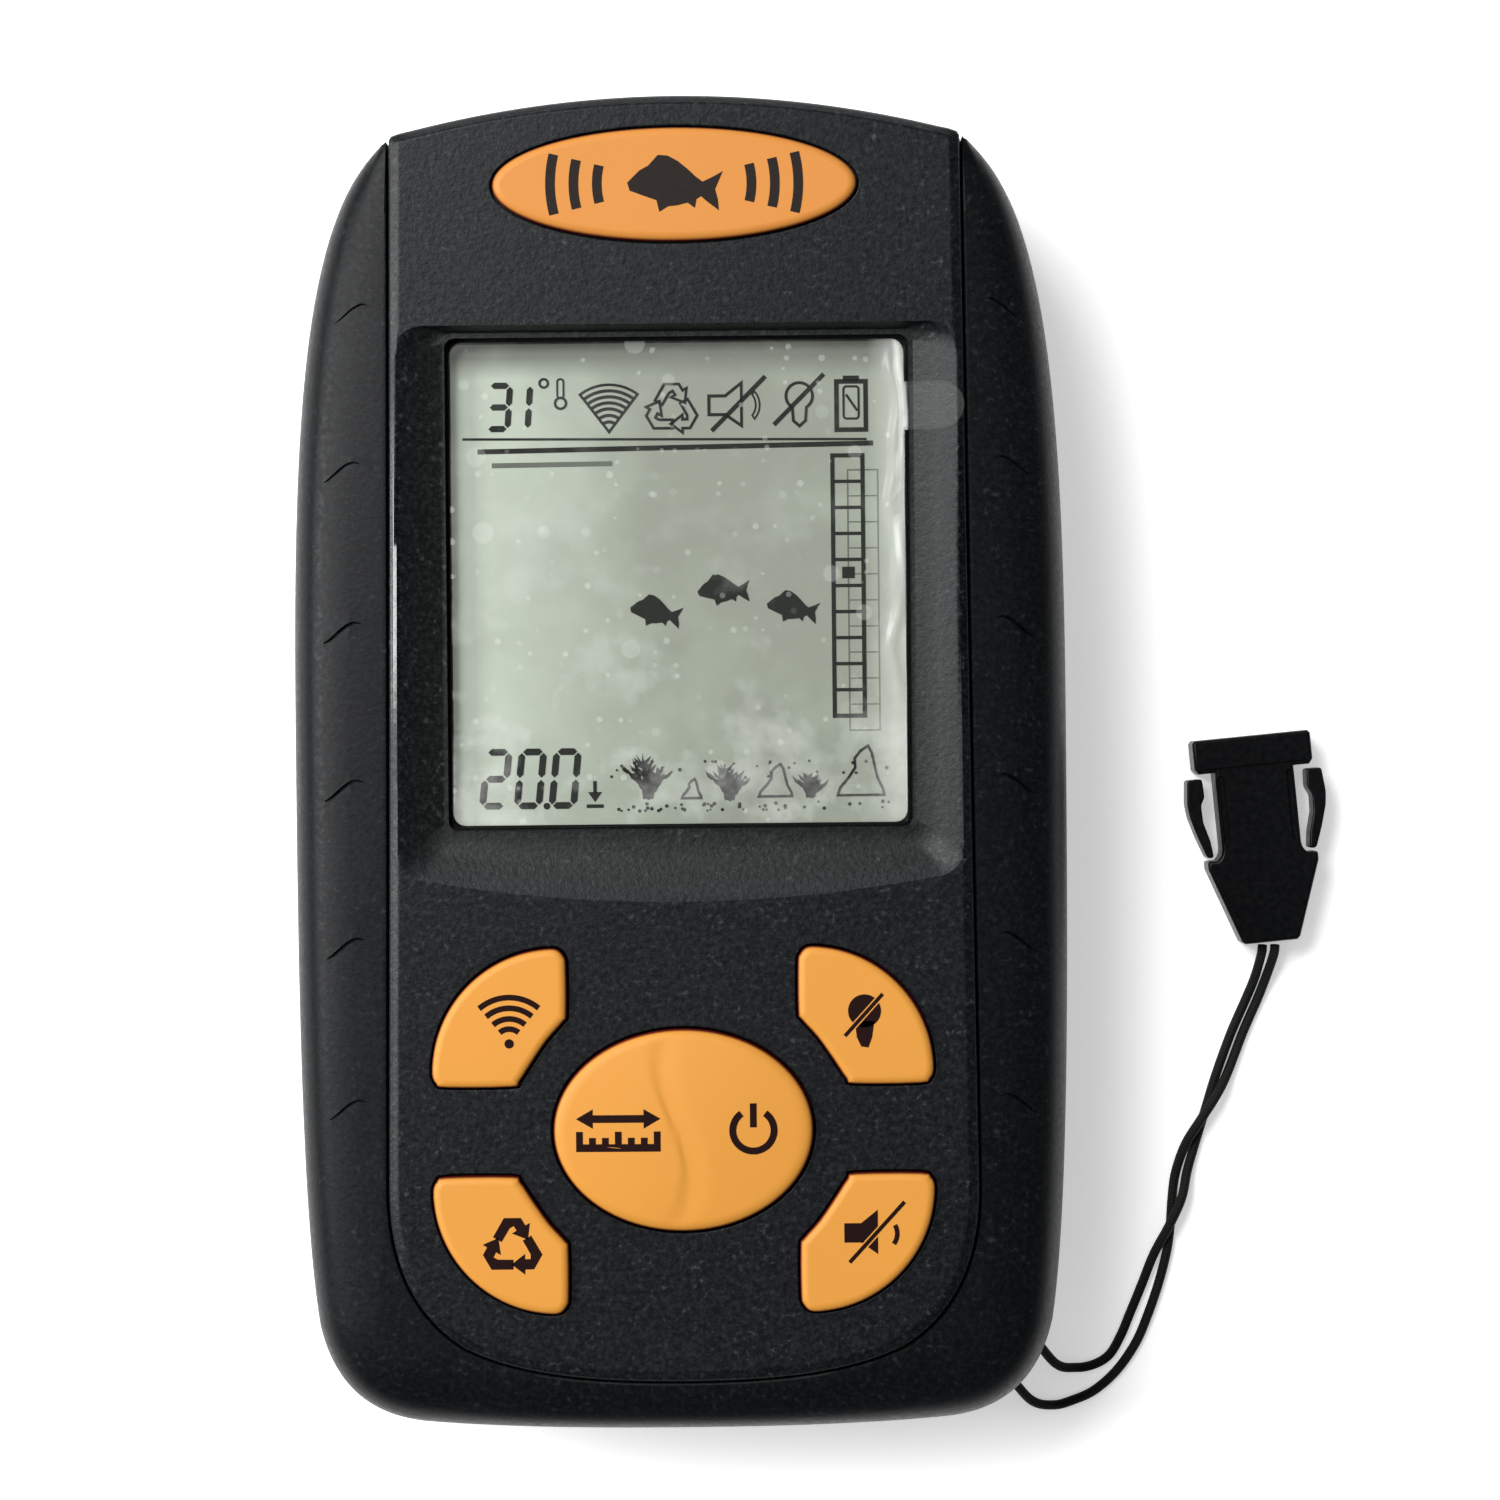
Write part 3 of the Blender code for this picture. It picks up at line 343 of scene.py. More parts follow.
def hollow(half, depth):
    """The room inside a half outline, depth within it, with plain upper corners."""
    side = [p for p in half if p[1] < 55.5]
    corner = [(SHOULDER_X, 58.5), (SHOULDER_X, 61.9)]
    return inset(both_halves(side + corner + [p for p in top_arc() if p[0] < 24]), depth)


def corner_key():
    """The upper right key from the keypad's centre."""
    points = [(16.9, 4.4), (23.3, 4.4), (24.3, 4.8), (24.7, 5.8)]
    points += arc((12.5, 5.8), 12.2, 10, 85, 8)
    points += [(12.3, 17.9), (11.6, 17.2), (11.4, 16.2), (11.4, 11.6), (11.7, 10.8)]
    points += [(13.3, 9.0), (14.9, 6.7), (16.1, 4.9)]
    return smooth_closed(points, 3)


def mirrored(points, sign_x, sign_y):
    """A corner key's outline in one of the four corners of the keypad."""
    moved = [(sign_x * x, KEYPAD_CENTRE_Y + sign_y * y) for x, y in points]
    return moved if sign_x * sign_y > 0 else moved[::-1]


def rounding(outline, height, radius, steps=5, depth=None):
    """Levels that round an outline's upper edge off, up to height."""
    depth = depth or radius
    levels = []
    for i in range(steps + 1):
        turn = math.pi / 2 * i / steps
        levels.append((inset(outline, radius * (1 - math.cos(turn))), height - depth * (1 - math.sin(turn))))
    return levels


def flaring(outline, height, radius, steps=4):
    """Levels of a cutter that leave the rim at height rounded."""
    levels = []
    for i in range(steps + 1):
        turn = math.pi / 2 * i / steps
        outward = radius * (1 - math.cos(turn))
        levels.append((inset(outline, -outward), height - radius * (1 - math.sin(turn))))
    return levels + [(inset(outline, -radius * 1.02), height + 0.5)]


# ---------------------------------------------------------------- mesh makers

def new_object(name, builder, finish=None, sharp=35):
    bmesh.ops.remove_doubles(builder, verts=builder.verts, dist=0.0005)
    bmesh.ops.recalc_face_normals(builder, faces=builder.faces)
    bmesh.ops.scale(builder, verts=builder.verts, vec=(MM,) * 3)
    mesh = bpy.data.meshes.new(name)
    builder.to_mesh(mesh)
    builder.free()
    mesh.shade_smooth()
    mesh.set_sharp_from_angle(angle=math.radians(sharp))
    made = bpy.data.objects.new(name, mesh)
    bpy.context.scene.collection.objects.link(made)
    if finish:
        mesh.materials.append(finish)
    return made


def ring_of_faces(builder, lower, upper):
    for i in range(len(lower)):
        j = (i + 1) % len(lower)
        builder.faces.new((lower[i], lower[j], upper[j], upper[i]))


def loft(name, levels, finish=None, sharp=35):
    builder = bmesh.new()
    rings = [[builder.verts.new((x, y, z)) for x, y in outline] for outline, z in levels]
    for lower, upper in zip(rings, rings[1:]):
        ring_of_faces(builder, lower, upper)
    builder.faces.new(list(reversed(rings[0])))
    builder.faces.new(rings[-1])
    return new_object(name, builder, finish, sharp)


def prism(name, outline, low, high, finish=None):
    return loft(name, [(outline, low), (outline, high)], finish)


def box(name, low, high, finish=None):
    centre = ((low[0] + high[0]) / 2, (low[1] + high[1]) / 2)
    size = (high[0] - low[0], high[1] - low[1])
    return prism(name, rectangle(centre, size), low[2], high[2], finish)


def along_x(name, profile, start, end, finish=None):
    """A profile given as (y, z) points, drawn out along X."""
    builder = bmesh.new()
    rings = [[builder.verts.new((x, y, z)) for y, z in profile] for x in (start, end)]
    ring_of_faces(builder, *rings)
    builder.faces.new(list(reversed(rings[0])))
    builder.faces.new(rings[1])
    return new_object(name, builder, finish)


def combine(target, tools, operation):
    """Cuts the tools from the target or joins them to it, for good."""
    for tool in tools:
        modifier = target.modifiers.new(tool.name, "BOOLEAN")
        modifier.operation = operation
        modifier.solver = "EXACT"
        modifier.object = tool
    settle(target)
    for tool in tools:
        bpy.data.objects.remove(tool, do_unlink=True)
    return target


def settle(target):
    """Makes the object's modifiers part of its mesh."""
    bpy.context.view_layer.update()
    graph = bpy.context.evaluated_depsgraph_get()
    mesh = bpy.data.meshes.new_from_object(target.evaluated_get(graph))
    old = target.data
    target.modifiers.clear()
    target.data = mesh
    bpy.data.meshes.remove(old)


def even_shading(target, sharp=35):
    """Flat faces stay flat next to rounded edges."""
    target.data.set_sharp_from_angle(angle=math.radians(sharp))
    modifier = target.modifiers.new("normals", "WEIGHTED_NORMAL")
    modifier.keep_sharp = True
    modifier.weight = 100
    return target


def cut(target, *tools):
    return combine(target, tools, "DIFFERENCE")


def join(target, *tools):
    return combine(target, tools, "UNION")


def place(piece, body, slot, *replaced):
    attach(piece, body)
    if replaced:
        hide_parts(*replaced)
    return piece


# ---------------------------------------------------------------- material nodes

class Nodes:
    """Short ways to add nodes to one material."""

    def __init__(self, name):
        self.material = bpy.data.materials.new(name)
        self.material.use_nodes = True
        self.tree = self.material.node_tree
        self.shader = self.tree.nodes["Principled BSDF"]
        self.place = self.add("ShaderNodeTexCoord").outputs["Object"]

    def add(self, kind, **settings):
        node = self.tree.nodes.new(kind)
        for key, value in settings.items():
            setattr(node, key, value)
        return node

    def link(self, output, entry):
        self.tree.links.new(output, entry)

    def noise(self, scale, detail=2.0, roughness=0.5, where=None):
        node = self.add("ShaderNodeTexNoise")
        node.inputs["Scale"].default_value = scale
        node.inputs["Detail"].default_value = detail
        node.inputs["Roughness"].default_value = roughness
        self.link(where or self.place, node.inputs["Vector"])
        return node.outputs["Fac"]

    def cells(self, scale, feature="F1"):
        node = self.add("ShaderNodeTexVoronoi", feature=feature)
        node.inputs["Scale"].default_value = scale
        self.link(self.place, node.inputs["Vector"])
        return node

    def remap(self, value, low, high, to_low=0.0, to_high=1.0):
        node = self.add("ShaderNodeMapRange")
        for key, number in (("From Min", low), ("From Max", high), ("To Min", to_low), ("To Max", to_high)):
            node.inputs[key].default_value = number
        self.link(value, node.inputs["Value"])
        return node.outputs["Result"]

    def math(self, operation, one, two=None):
        node = self.add("ShaderNodeMath", operation=operation)
        for slot, value in zip(node.inputs, (one, two)):
            if value is None:
                continue
            if isinstance(value, (int, float)):
                slot.default_value = value
            else:
                self.link(value, slot)
        return node.outputs[0]

    def mix(self, share, one, two):
        """A colour between one and two, each a colour or an output."""
        node = self.add("ShaderNodeMix", data_type="RGBA")
        if isinstance(share, (int, float)):
            node.inputs["Factor"].default_value = share
        else:
            self.link(share, node.inputs["Factor"])
        for slot, value in ((node.inputs[6], one), (node.inputs[7], two)):
            if isinstance(value, tuple):
                slot.default_value = (*value, 1.0)
            else:
                self.link(value, slot)
        return node.outputs[2]

    def bump(self, height, strength, distance):
        node = self.add("ShaderNodeBump")
        node.inputs["Strength"].default_value = strength
        node.inputs["Distance"].default_value = distance
        self.link(height, node.inputs["Height"])
        self.link(node.outputs["Normal"], self.shader.inputs["Normal"])

    def axis(self, name):
        node = self.add("ShaderNodeSeparateXYZ")
        self.link(self.place, node.inputs[0])
        return node.outputs[name]

    def set(self, **values):
        names = {"roughness": "Roughness", "metallic": "Metallic", "specular": "Specular IOR Level",
                 "alpha": "Alpha", "emission": "Emission Strength"}
        for key, value in values.items():
            entry = self.shader.inputs[names[key]]
            if isinstance(value, (int, float)):
                entry.default_value = value
            else:
                self.link(value, entry)

    def colour(self, value):
        entry = self.shader.inputs["Base Color"]
        if isinstance(value, tuple):
            entry.default_value = (*value, 1.0)
        else:
            self.link(value, entry)


def rubbed(made):
    """One along the two long rims beside the window, which a thumb has rubbed smooth, and zero elsewhere."""
    rim = made.remap(made.math("ABSOLUTE", made.axis("X")), 0.0273, 0.0276)
    lower_end = made.remap(made.axis("Y"), 0.002, 0.011)
    upper_end = made.remap(made.axis("Y"), 0.037, 0.026)
    return made.math("MULTIPLY", rim, made.math("MULTIPLY", lower_end, upper_end))


def speckled(name, dark, light, flakes, roughness, grain, specular, panel=False):
    """Moulded plastic with fine pale flakes in it and a fine spark-eroded grain.

    The panel's has rubbed rims, and painted light low in the dish: a lighter, greener tone there.
    """
    made = Nodes(name)
    mottle = made.remap(made.noise(2100, 3.0, 0.7), 0.44, 0.74, 0.0, 0.30)
    flake = made.remap(made.noise(1700, 1.5), 0.58, 0.76, 0.0, 1.0)
    share = made.remap(made.noise(380, 2.0), 0.38, 0.66, 0.1, 1.0)
    glint = made.math("MULTIPLY", flake, share)
    total = made.math("MULTIPLY", made.math("MAXIMUM", mottle, glint), flakes)
    patches = made.remap(made.noise(60, 3.0), 0.3, 0.7)
    tone = made.mix(patches, dark, tuple(c * 1.25 for c in dark))
    rough = made.remap(made.noise(1700, 2.0), 0.3, 0.7, roughness - 0.05, roughness + 0.07)
    height = made.noise(1900, 3.0, 0.6)
    if panel:
        worn = rubbed(made)
        rough = made.math("SUBTRACT", rough, made.math("MULTIPLY", worn, 0.27))
        height = made.math("MULTIPLY", height, made.math("SUBTRACT", 1.0, worn))
        # Painted light: the dish's low slopes get a lighter, greener colour, as if lit.
        dish_painted_light = made.remap(made.axis("Z"), 0.0264, 0.0257)
        tone = made.mix(dish_painted_light, tone, (0.0028, 0.0052, 0.0042))
    made.colour(made.mix(total, tone, light))
    made.set(roughness=rough, specular=specular)
    made.bump(height, grain, 0.00006)
    return made.material


def key_rubber(name, body, shade, shade_fade_low, shade_fade_high):
    """Soft orange rubber, with painted shade: dark red-brown low down beside the panel, where the gap round
    it lies in shadow.
    """
    made = Nodes(name)
    # Painted shade: below this height the colour turns to the dark shade colour.
    height = made.remap(made.axis("Z"), shade_fade_low, shade_fade_high)
    tint = made.mix(made.remap(made.noise(45, 2.0), 0.3, 0.7), body, tuple(c * 0.95 for c in body))
    made.colour(made.mix(height, shade, tint))
    made.set(roughness=made.remap(made.noise(1500, 2.0), 0.3, 0.7, 0.48, 0.58), specular=0.3)
    made.bump(made.noise(3800, 2.0), 0.12, 0.00004)
    return made.material


def plain(name, colour, roughness, metallic=0.0, grain=0.1, scale=2500, spread=0.08, specular=0.5):
    """A moulded, printed or plated surface with slight unevenness."""
    made = Nodes(name)
    share = made.remap(made.noise(120, 3.0), 0.3, 0.7)
    made.colour(made.mix(share, colour, tuple(c * (1 - spread) for c in colour)))
    made.set(roughness=made.remap(made.noise(scale * 0.6, 2.0), 0.3, 0.7, roughness * 0.9, roughness * 1.1),
             metallic=metallic, specular=specular)
    made.bump(made.noise(scale, 2.0), grain, 0.00005)
    return made.material


def braid(name, dark, light):
    """Cord cover: strands crossing both ways, worked out from turns round and distance along."""
    made = Nodes(name)
    around = made.add("ShaderNodeUVMap", uv_map="cord")
    parts = made.add("ShaderNodeSeparateXYZ")
    made.link(around.outputs[0], parts.inputs[0])
    turn = made.math("MULTIPLY", parts.outputs[0], 2 * math.pi * 4)
    along = made.math("MULTIPLY", parts.outputs[1], 2 * math.pi * 1400)
    one = made.math("SINE", made.math("ADD", turn, along))
    two = made.math("SINE", made.math("SUBTRACT", turn, along))
    weave = made.math("MULTIPLY", one, two)
    made.colour(made.mix(made.remap(weave, -1, 1), dark, light))
    made.set(roughness=0.7, specular=0.2)
    made.bump(weave, 0.5, 0.00004)
    return made.material


def clear_pane(name):
    """A clear window, almost invisible but for its reflections."""
    made = Nodes(name)
    made.colour((0.9, 0.92, 0.9))
    made.set(alpha=made.remap(made.noise(30, 3.0), 0.3, 0.7, 0.002, 0.005), roughness=0.12, specular=0.35)
    return made.material


def bubbles(made, scale, least, strength):
    """Round pale spots of many sizes, one to a cell, in some of the cells."""
    cells = made.cells(scale)
    tint = made.add("ShaderNodeSeparateColor")
    made.link(cells.outputs["Color"], tint.inputs[0])
    size = made.math("MULTIPLY", tint.outputs[0], 0.32)
    disc = made.math("LESS_THAN", made.math("SUBTRACT", cells.outputs["Distance"], size), 0.0)
    chosen = made.math("GREATER_THAN", tint.outputs[1], 1 - least)
    spot = made.math("MULTIPLY", made.math("MULTIPLY", disc, chosen), strength)
    return made.math("MULTIPLY", spot, tint.outputs[2])


def crease(made, across):
    """Painted highlight: a pale broken line up the film's right edge, where its wrinkles catch the light."""
    wobble = made.remap(made.noise(95, 2.0), 0.3, 0.7, -0.0005, 0.0005)
    off = made.math("ABSOLUTE", made.math("SUBTRACT", made.math("ADD", across, wobble), 0.0219))
    line = made.math("MULTIPLY", made.remap(off, 0.00055, 0.0, 0.0, 0.75),
                     made.remap(made.axis("Y"), 0.014, 0.028))
    return made.math("MULTIPLY", line, made.remap(made.noise(210, 1.5), 0.42, 0.58, 0.1, 1.0))


def clouded_film(name):
    """Thin clear film: faint cloudy haze, with round pale bubbles of many sizes under it, and painted
    highlights along its right edge.
    """
    made = Nodes(name)
    low = made.remap(made.axis("Y"), 0.028, 0.002, 0.15, 1.0)
    cloud = made.remap(made.noise(95, 5.0, 0.62), 0.50, 0.78, 0.0, 0.20)
    total = made.math("ADD", made.math("MULTIPLY", cloud, low), 0.002)
    for scale, least, strength in ((260.0, 0.26, 0.07), (520.0, 0.26, 0.07), (900.0, 0.30, 0.09)):
        total = made.math("ADD", total, bubbles(made, scale, least, strength))
    across = made.axis("X")
    # Painted highlight: a pale band near the right edge, and the pale crease line, where the lifted film
    # catches the light.
    edge = made.math("MULTIPLY", made.remap(across, 0.0188, 0.0214, 0.0, 0.12),
                     made.remap(across, 0.0229, 0.0226))
    edge = made.math("ADD", edge, crease(made, across))
    over_window = made.math("MULTIPLY", made.math("ADD", total, edge), made.remap(across, 0.0230, 0.0227))
    made.colour((0.90, 0.92, 0.88))
    tab = made.remap(across, 0.0226, 0.0232, 0.002, 0.014)
    made.set(alpha=made.math("ADD", over_window, tab), roughness=0.2, specular=1.0)
    return made.material


def liquid_crystal(name):
    """The pale grey-green reflector behind the digits, with painted light: lighter on the left, a painted
    shadow along its top and left edges, and a glow of its own colour.
    """
    made = Nodes(name)
    # Painted light: lighter to the left and darker to the right.
    across = made.remap(made.axis("X"), -0.021, 0.000)
    cloud = made.remap(made.noise(70, 4.0, 0.6), 0.3, 0.7, -0.25, 0.25)
    face = made.mix(made.math("ADD", across, cloud), (0.275, 0.312, 0.258), (0.150, 0.168, 0.134))
    # Painted shadow along the window's top and left edges.
    rim_shadow = made.math("MAXIMUM", made.remap(made.axis("Y"), 0.0383, 0.0404),
                          made.remap(made.axis("X"), -0.0219, -0.0230, 0.0, 0.5))
    seen = made.mix(rim_shadow, face, (0.090, 0.101, 0.082))
    made.colour(seen)
    # Painted light: the face glows in its own colour, though it is no lamp, which lifts its shade.
    made.link(seen, made.shader.inputs["Emission Color"])
    made.set(roughness=0.6, emission=0.5)
    made.bump(made.noise(3000, 2.0), 0.08, 0.00003)
    return made.material


def cell_sleeve(name):
    """A plain printed sleeve: dark with a copper-coloured band at the plus end, no marks."""
    made = Nodes(name)
    stripe = made.math("PINGPONG", made.axis("Y"), 0.0218)
    edge = made.remap(stripe, 0.0120, 0.0124)
    made.colour(made.mix(edge, (0.03, 0.035, 0.04), (0.55, 0.27, 0.10)))
    made.set(roughness=made.remap(made.noise(500, 2.0), 0.3, 0.7, 0.22, 0.32), metallic=0.35)
    return made.material


# Painted shade: the dark red-brown given to the keys and badge low down in their gaps.
PAINTED_KEY_SHADE = (0.110, 0.0060, 0.0030)
PRINTED = {"specular": 0.1}
METAL = {"metallic": 1.0}
PLAIN_LOOKS = (
    ("ink", "legend_ink", (0.012, 0.0022, 0.0022), 0.7, PRINTED),
    ("mark", "badge_ink", (0.020, 0.015, 0.013), 0.7, PRINTED),
    ("segment", "segment_dark", (0.006, 0.008, 0.005), 0.7, {"spread": 0.2, "specular": 0.1}),
    # Painted shadow: the colour of the flat plates that stand for the signs' shadows on the reflector.
    ("painted_shadow", "segment_shadow", (0.100, 0.113, 0.090), 0.7, PRINTED),
    ("border", "window_border", (0.003, 0.003, 0.003), 0.5, PRINTED),
    ("steel", "nickel_steel", (0.62, 0.61, 0.60), 0.30, {"metallic": 1.0, "grain": 0.06, "scale": 900}),
    ("rubber", "black_rubber", (0.012, 0.012, 0.012), 0.75, {}),
    ("silicone", "grey_silicone", (0.30, 0.31, 0.32), 0.55, {}),
    ("green", "circuit_board", (0.015, 0.13, 0.045), 0.35, {"grain": 0.2, "scale": 700, "spread": 0.3}),
    ("chip", "component_black", (0.014, 0.014, 0.016), 0.45, {}),
    ("copper", "copper_wire", (0.72, 0.34, 0.17), 0.28, METAL),
    ("guide", "light_guide", (0.78, 0.80, 0.78), 0.35, {}),
    ("holder", "holder_plastic", (0.50, 0.50, 0.47), 0.5, {}),
    ("red", "red_wire", (0.45, 0.015, 0.012), 0.45, {}),
    ("black", "black_wire", (0.012, 0.012, 0.012), 0.45, {}),
)


def make_materials():
    made = {key: plain(name, colour, rough, **more) for key, name, colour, rough, more in PLAIN_LOOKS}
    made["panel"] = speckled("speckled_charcoal", (0.0018, 0.0026, 0.0038), (0.085, 0.095, 0.105), 0.40, 0.40,
                             0.60, 0.24, True)
    made["grip"] = speckled("grip_grey", (0.0016, 0.0021, 0.0028), (0.055, 0.062, 0.07), 0.26, 0.43,
                            0.35, 0.15)
    made["back"] = speckled("back_black", (0.0040, 0.0043, 0.0048), (0.05, 0.05, 0.055), 0.22, 0.52,
                            0.30, 0.3)
    made["clip"] = speckled("clip_black", (0.0014, 0.0017, 0.0022), (0.03, 0.03, 0.04), 0.06, 0.36, 0.10, 0.2)
    made["key"] = key_rubber("key_orange", (0.610, 0.258, 0.036), PAINTED_KEY_SHADE, 0.02698, 0.02722)
    made["badge"] = key_rubber("badge_orange", (0.560, 0.215, 0.037), PAINTED_KEY_SHADE, 0.02670, 0.02700)
    made["lcd"] = liquid_crystal("liquid_crystal")
    made["lens"] = clear_pane("clear_window")
    made["film"] = clouded_film("protective_film")
    made["cord"] = braid("strap_cord", (0.003, 0.004, 0.003), (0.012, 0.015, 0.012))
    made["cell"] = cell_sleeve("cell_sleeve")
    return made


# ---------------------------------------------------------------- strap cord and clip

def eye_point(out, along, z):
    """A place by the strap eye: out of the corner, along its edge, and z above the floor."""
    spot = EYE + EYE_OUT * out + EYE_ALONG * along
    return (spot.x, spot.y, z)


CORD_A = [
    eye_point(-1.9, 0.6, 5.4), eye_point(-1.2, 1.7, 5.4), eye_point(0.4, 2.2, 5.3),
    eye_point(2.6, 2.25, 4.9),
    eye_point(5.2, 2.3, 4.2), (38.2, -63.1, 2.1), (40.4, -63.7, 0.8), (42.3, -63.4, 0.6), (43.9, -62.4, 0.6),
    (45.1, -60.4, 0.6), (46.0, -58.3, 0.6), (47.3, -55.2, 0.65), (48.6, -51.9, 1.0), (50.2, -48.8, 1.75),
    (51.5, -46.0, 1.7), (52.2, -43.2, 0.9), (53.0, -40.6, 0.6), (54.1, -37.1, 0.6), (55.3, -33.3, 0.6),
    (56.9, -29.0, 0.6), (58.5, -25.4, 0.65), (59.4, -23.1, 1.2), (60.0, -20.6, 2.3), (60.1, -19.6, 2.5),
]
CORD_B = [
    eye_point(-1.9, -0.6, 5.4), eye_point(-1.2, -1.7, 5.4), eye_point(0.4, -2.2, 5.3),
    eye_point(2.6, -2.25, 4.8),
    eye_point(5.4, -2.4, 3.9),
    (35.6, -66.9, 1.9), (38.0, -67.6, 0.75), (40.1, -67.1, 0.6), (42.3, -66.1, 0.6),
    (44.6, -64.1, 0.6), (46.6, -61.3, 0.6), (47.9, -58.4, 0.6), (49.1, -55.0, 0.6), (50.0, -51.6, 0.6),
    (50.4, -48.8, 0.6), (50.6, -46.2, 0.6), (51.0, -43.4, 0.65), (52.0, -40.4, 1.35), (53.6, -37.8, 1.75),
    (55.3, -35.2, 1.7), (56.5, -33.0, 0.95), (58.2, -28.8, 0.6), (59.8, -25.2, 0.65), (60.6, -23.0, 1.2),
    (61.3, -20.6, 2.3), (61.4, -19.6, 2.5),
]
CORD_DIAMETER = 1.0


def cord_tube(name, points, radius, finish, sides=14):
    """A round tube along a smooth line, with turns round and metres along in its UV map."""
    line = smooth_line([Vector(p) for p in points], 0.35)
    builder = bmesh.new()
    rings = []
    side = Vector((0, 0, 1))
    lengths = [0.0]
    for i, centre in enumerate(line):
        forward = (line[min(i + 1, len(line) - 1)] - line[max(i - 1, 0)]).normalized()
        side = (side - forward * side.dot(forward)).normalized()
        up = forward.cross(side)
        turns = [2 * math.pi * k / sides for k in range(sides)]
        spokes = [side * math.cos(a) + up * math.sin(a) for a in turns]
        rings.append([builder.verts.new(centre + radius * spoke) for spoke in spokes])
        if i:
            lengths.append(lengths[-1] + (centre - line[i - 1]).length)
    layer = builder.loops.layers.uv.new("cord")
    for i, (one, two) in enumerate(zip(rings, rings[1:])):
        for k in range(sides):
            n = (k + 1) % sides
            face = builder.faces.new((one[k], one[n], two[n], two[k]))
            spots = ((k, i), (k + 1, i), (k + 1, i + 1), (k, i + 1))
            for loop, (turn, step) in zip(face.loops, spots):
                loop[layer].uv = (turn / sides, lengths[step] * MM)
    builder.faces.new(list(reversed(rings[0])))
    builder.faces.new(rings[-1])
    made = new_object(name, builder, finish)
    return made, [p * MM for p in line], lengths[-1] * MM


CLIP_END = (60.8, -19.2)
CLIP_TILT = math.radians(5.2)


def clip_points(points):
    """Places in the clip, whose tail is at its origin, laid where the clip lies."""
    cos, sin = math.cos(CLIP_TILT), math.sin(CLIP_TILT)
    return [(CLIP_END[0] + u * cos - v * sin, CLIP_END[1] + u * sin + v * cos) for u, v in points]


def make_clip(finish):
    """Body with T-head and tongue, and the two springy arms."""
    low, high = 0.2, 4.8
    half = [
        (0, 0), (2.7, 0), (3.05, 0.3), (5.7, 7.9), (5.75, 8.1), (5.75, 8.75), (5.6, 8.9), (4.7, 8.9),
        (4.4, 9.2), (4.18, 9.6), (4.1, 10.1), (4.1, 18.0), (5.75, 18.0), (6.15, 18.5), (6.15, 21.2),
        (5.9, 21.5), (0, 21.5),
    ]
    outline = clip_points(both_halves(half))
    bottom = [(inset(outline, 0.35 * (1 - math.sin(a))), low + 0.35 * (1 - math.cos(a)))
              for a in (0, 0.4, 0.8, 1.2, math.pi / 2)]
    body = loft("strap_clip_body", bottom + rounding(outline, high, 0.35), finish)
    dents = []
    for side in (-1, 1):
        rib = rectangle((side * 3.55, 14.0), (0.5, 7.2), 0.22, 4)
        wide = clip_points(inset(rib, -0.1))
        dents.append(loft(f"rib_{side}", [(clip_points(rib), high - 0.3), (wide, high + 0.2)]))
    step = clip_points(rectangle((0, 18.35), (11.2, 0.35), 0.15, 3))
    dents.append(loft("head_step", [(inset(step, 0.08), high - 0.2), (step, high + 0.2)]))
    cut(body, *dents)
    even_shading(body)
    arm = [
        (5.0, 9.25), (5.7, 9.25), (6.5, 11.5), (7.1, 13.6), (7.25, 15.0), (7.0, 17.5), (5.45, 17.5),
        (5.35, 15.6), (5.8, 14.8), (5.75, 13.0), (5.2, 11.0),
    ]
    pieces = [place(body, "root", "clip_plastic", "clip_body")]
    for name, body_name, side in (("right", "right_arm", 1), ("left", "left_arm", -1)):
        points = smooth_corners(arm, 0.3)
        points = points if side > 0 else [(-u, v) for u, v in reversed(points)]
        outline = clip_points(points)
        under = [(inset(outline, 0.2 * (1 - math.sin(a))), low + 0.5 + 0.2 * (1 - math.cos(a)))
                 for a in (0, 0.5, 1.0, math.pi / 2)]
        levels = under + rounding(outline, high - 0.5, 0.2, 4)
        piece = even_shading(loft(f"strap_clip_arm_{name}", levels, finish))
        pieces.append(place(piece, body_name, "clip_plastic", f"clip_arm_{name}"))
    return pieces


def smooth_corners(points, radius, steps=3):
    """A closed outline with each corner rounded off by about radius."""
    vectors = [Vector(p) for p in points]
    line = []
    for i, corner in enumerate(vectors):
        before, after = vectors[i - 1], vectors[(i + 1) % len(vectors)]
        reach = min(radius, (before - corner).length * 0.45, (after - corner).length * 0.45)
        start = corner + (before - corner).normalized() * reach
        end = corner + (after - corner).normalized() * reach
        for k in range(steps + 1):
            t = k / steps
            line.append(tuple(start * (1 - t) ** 2 + corner * 2 * t * (1 - t) + end * t * t))
    return line


def make_strap(looks):
    first, path_a, long_a = cord_tube("strap_strand_a", CORD_A, CORD_DIAMETER / 2, looks["cord"])
    second, path_b, long_b = cord_tube("strap_strand_b", CORD_B, CORD_DIAMETER / 2, looks["cord"])
    place(first, "root", "strap_cord", "strap_cord_a")
    place(second, "root", "strap_cord", "strap_cord_b")
    body, right_arm, left_arm = make_clip(looks["clip"])


# ---------------------------------------------------------------- casing

CORNER_KEYS = (
    ("sonar", -1, 1),
    ("light", 1, 1),
    ("loop", -1, -1),
    ("mute", 1, -1),
)
BAY_CENTRE = (0, -8.0)
CASE_SCREWS = ((29.0, 44.0), (-29.0, 44.0), (29.0, -44.0), (-29.0, -44.0))


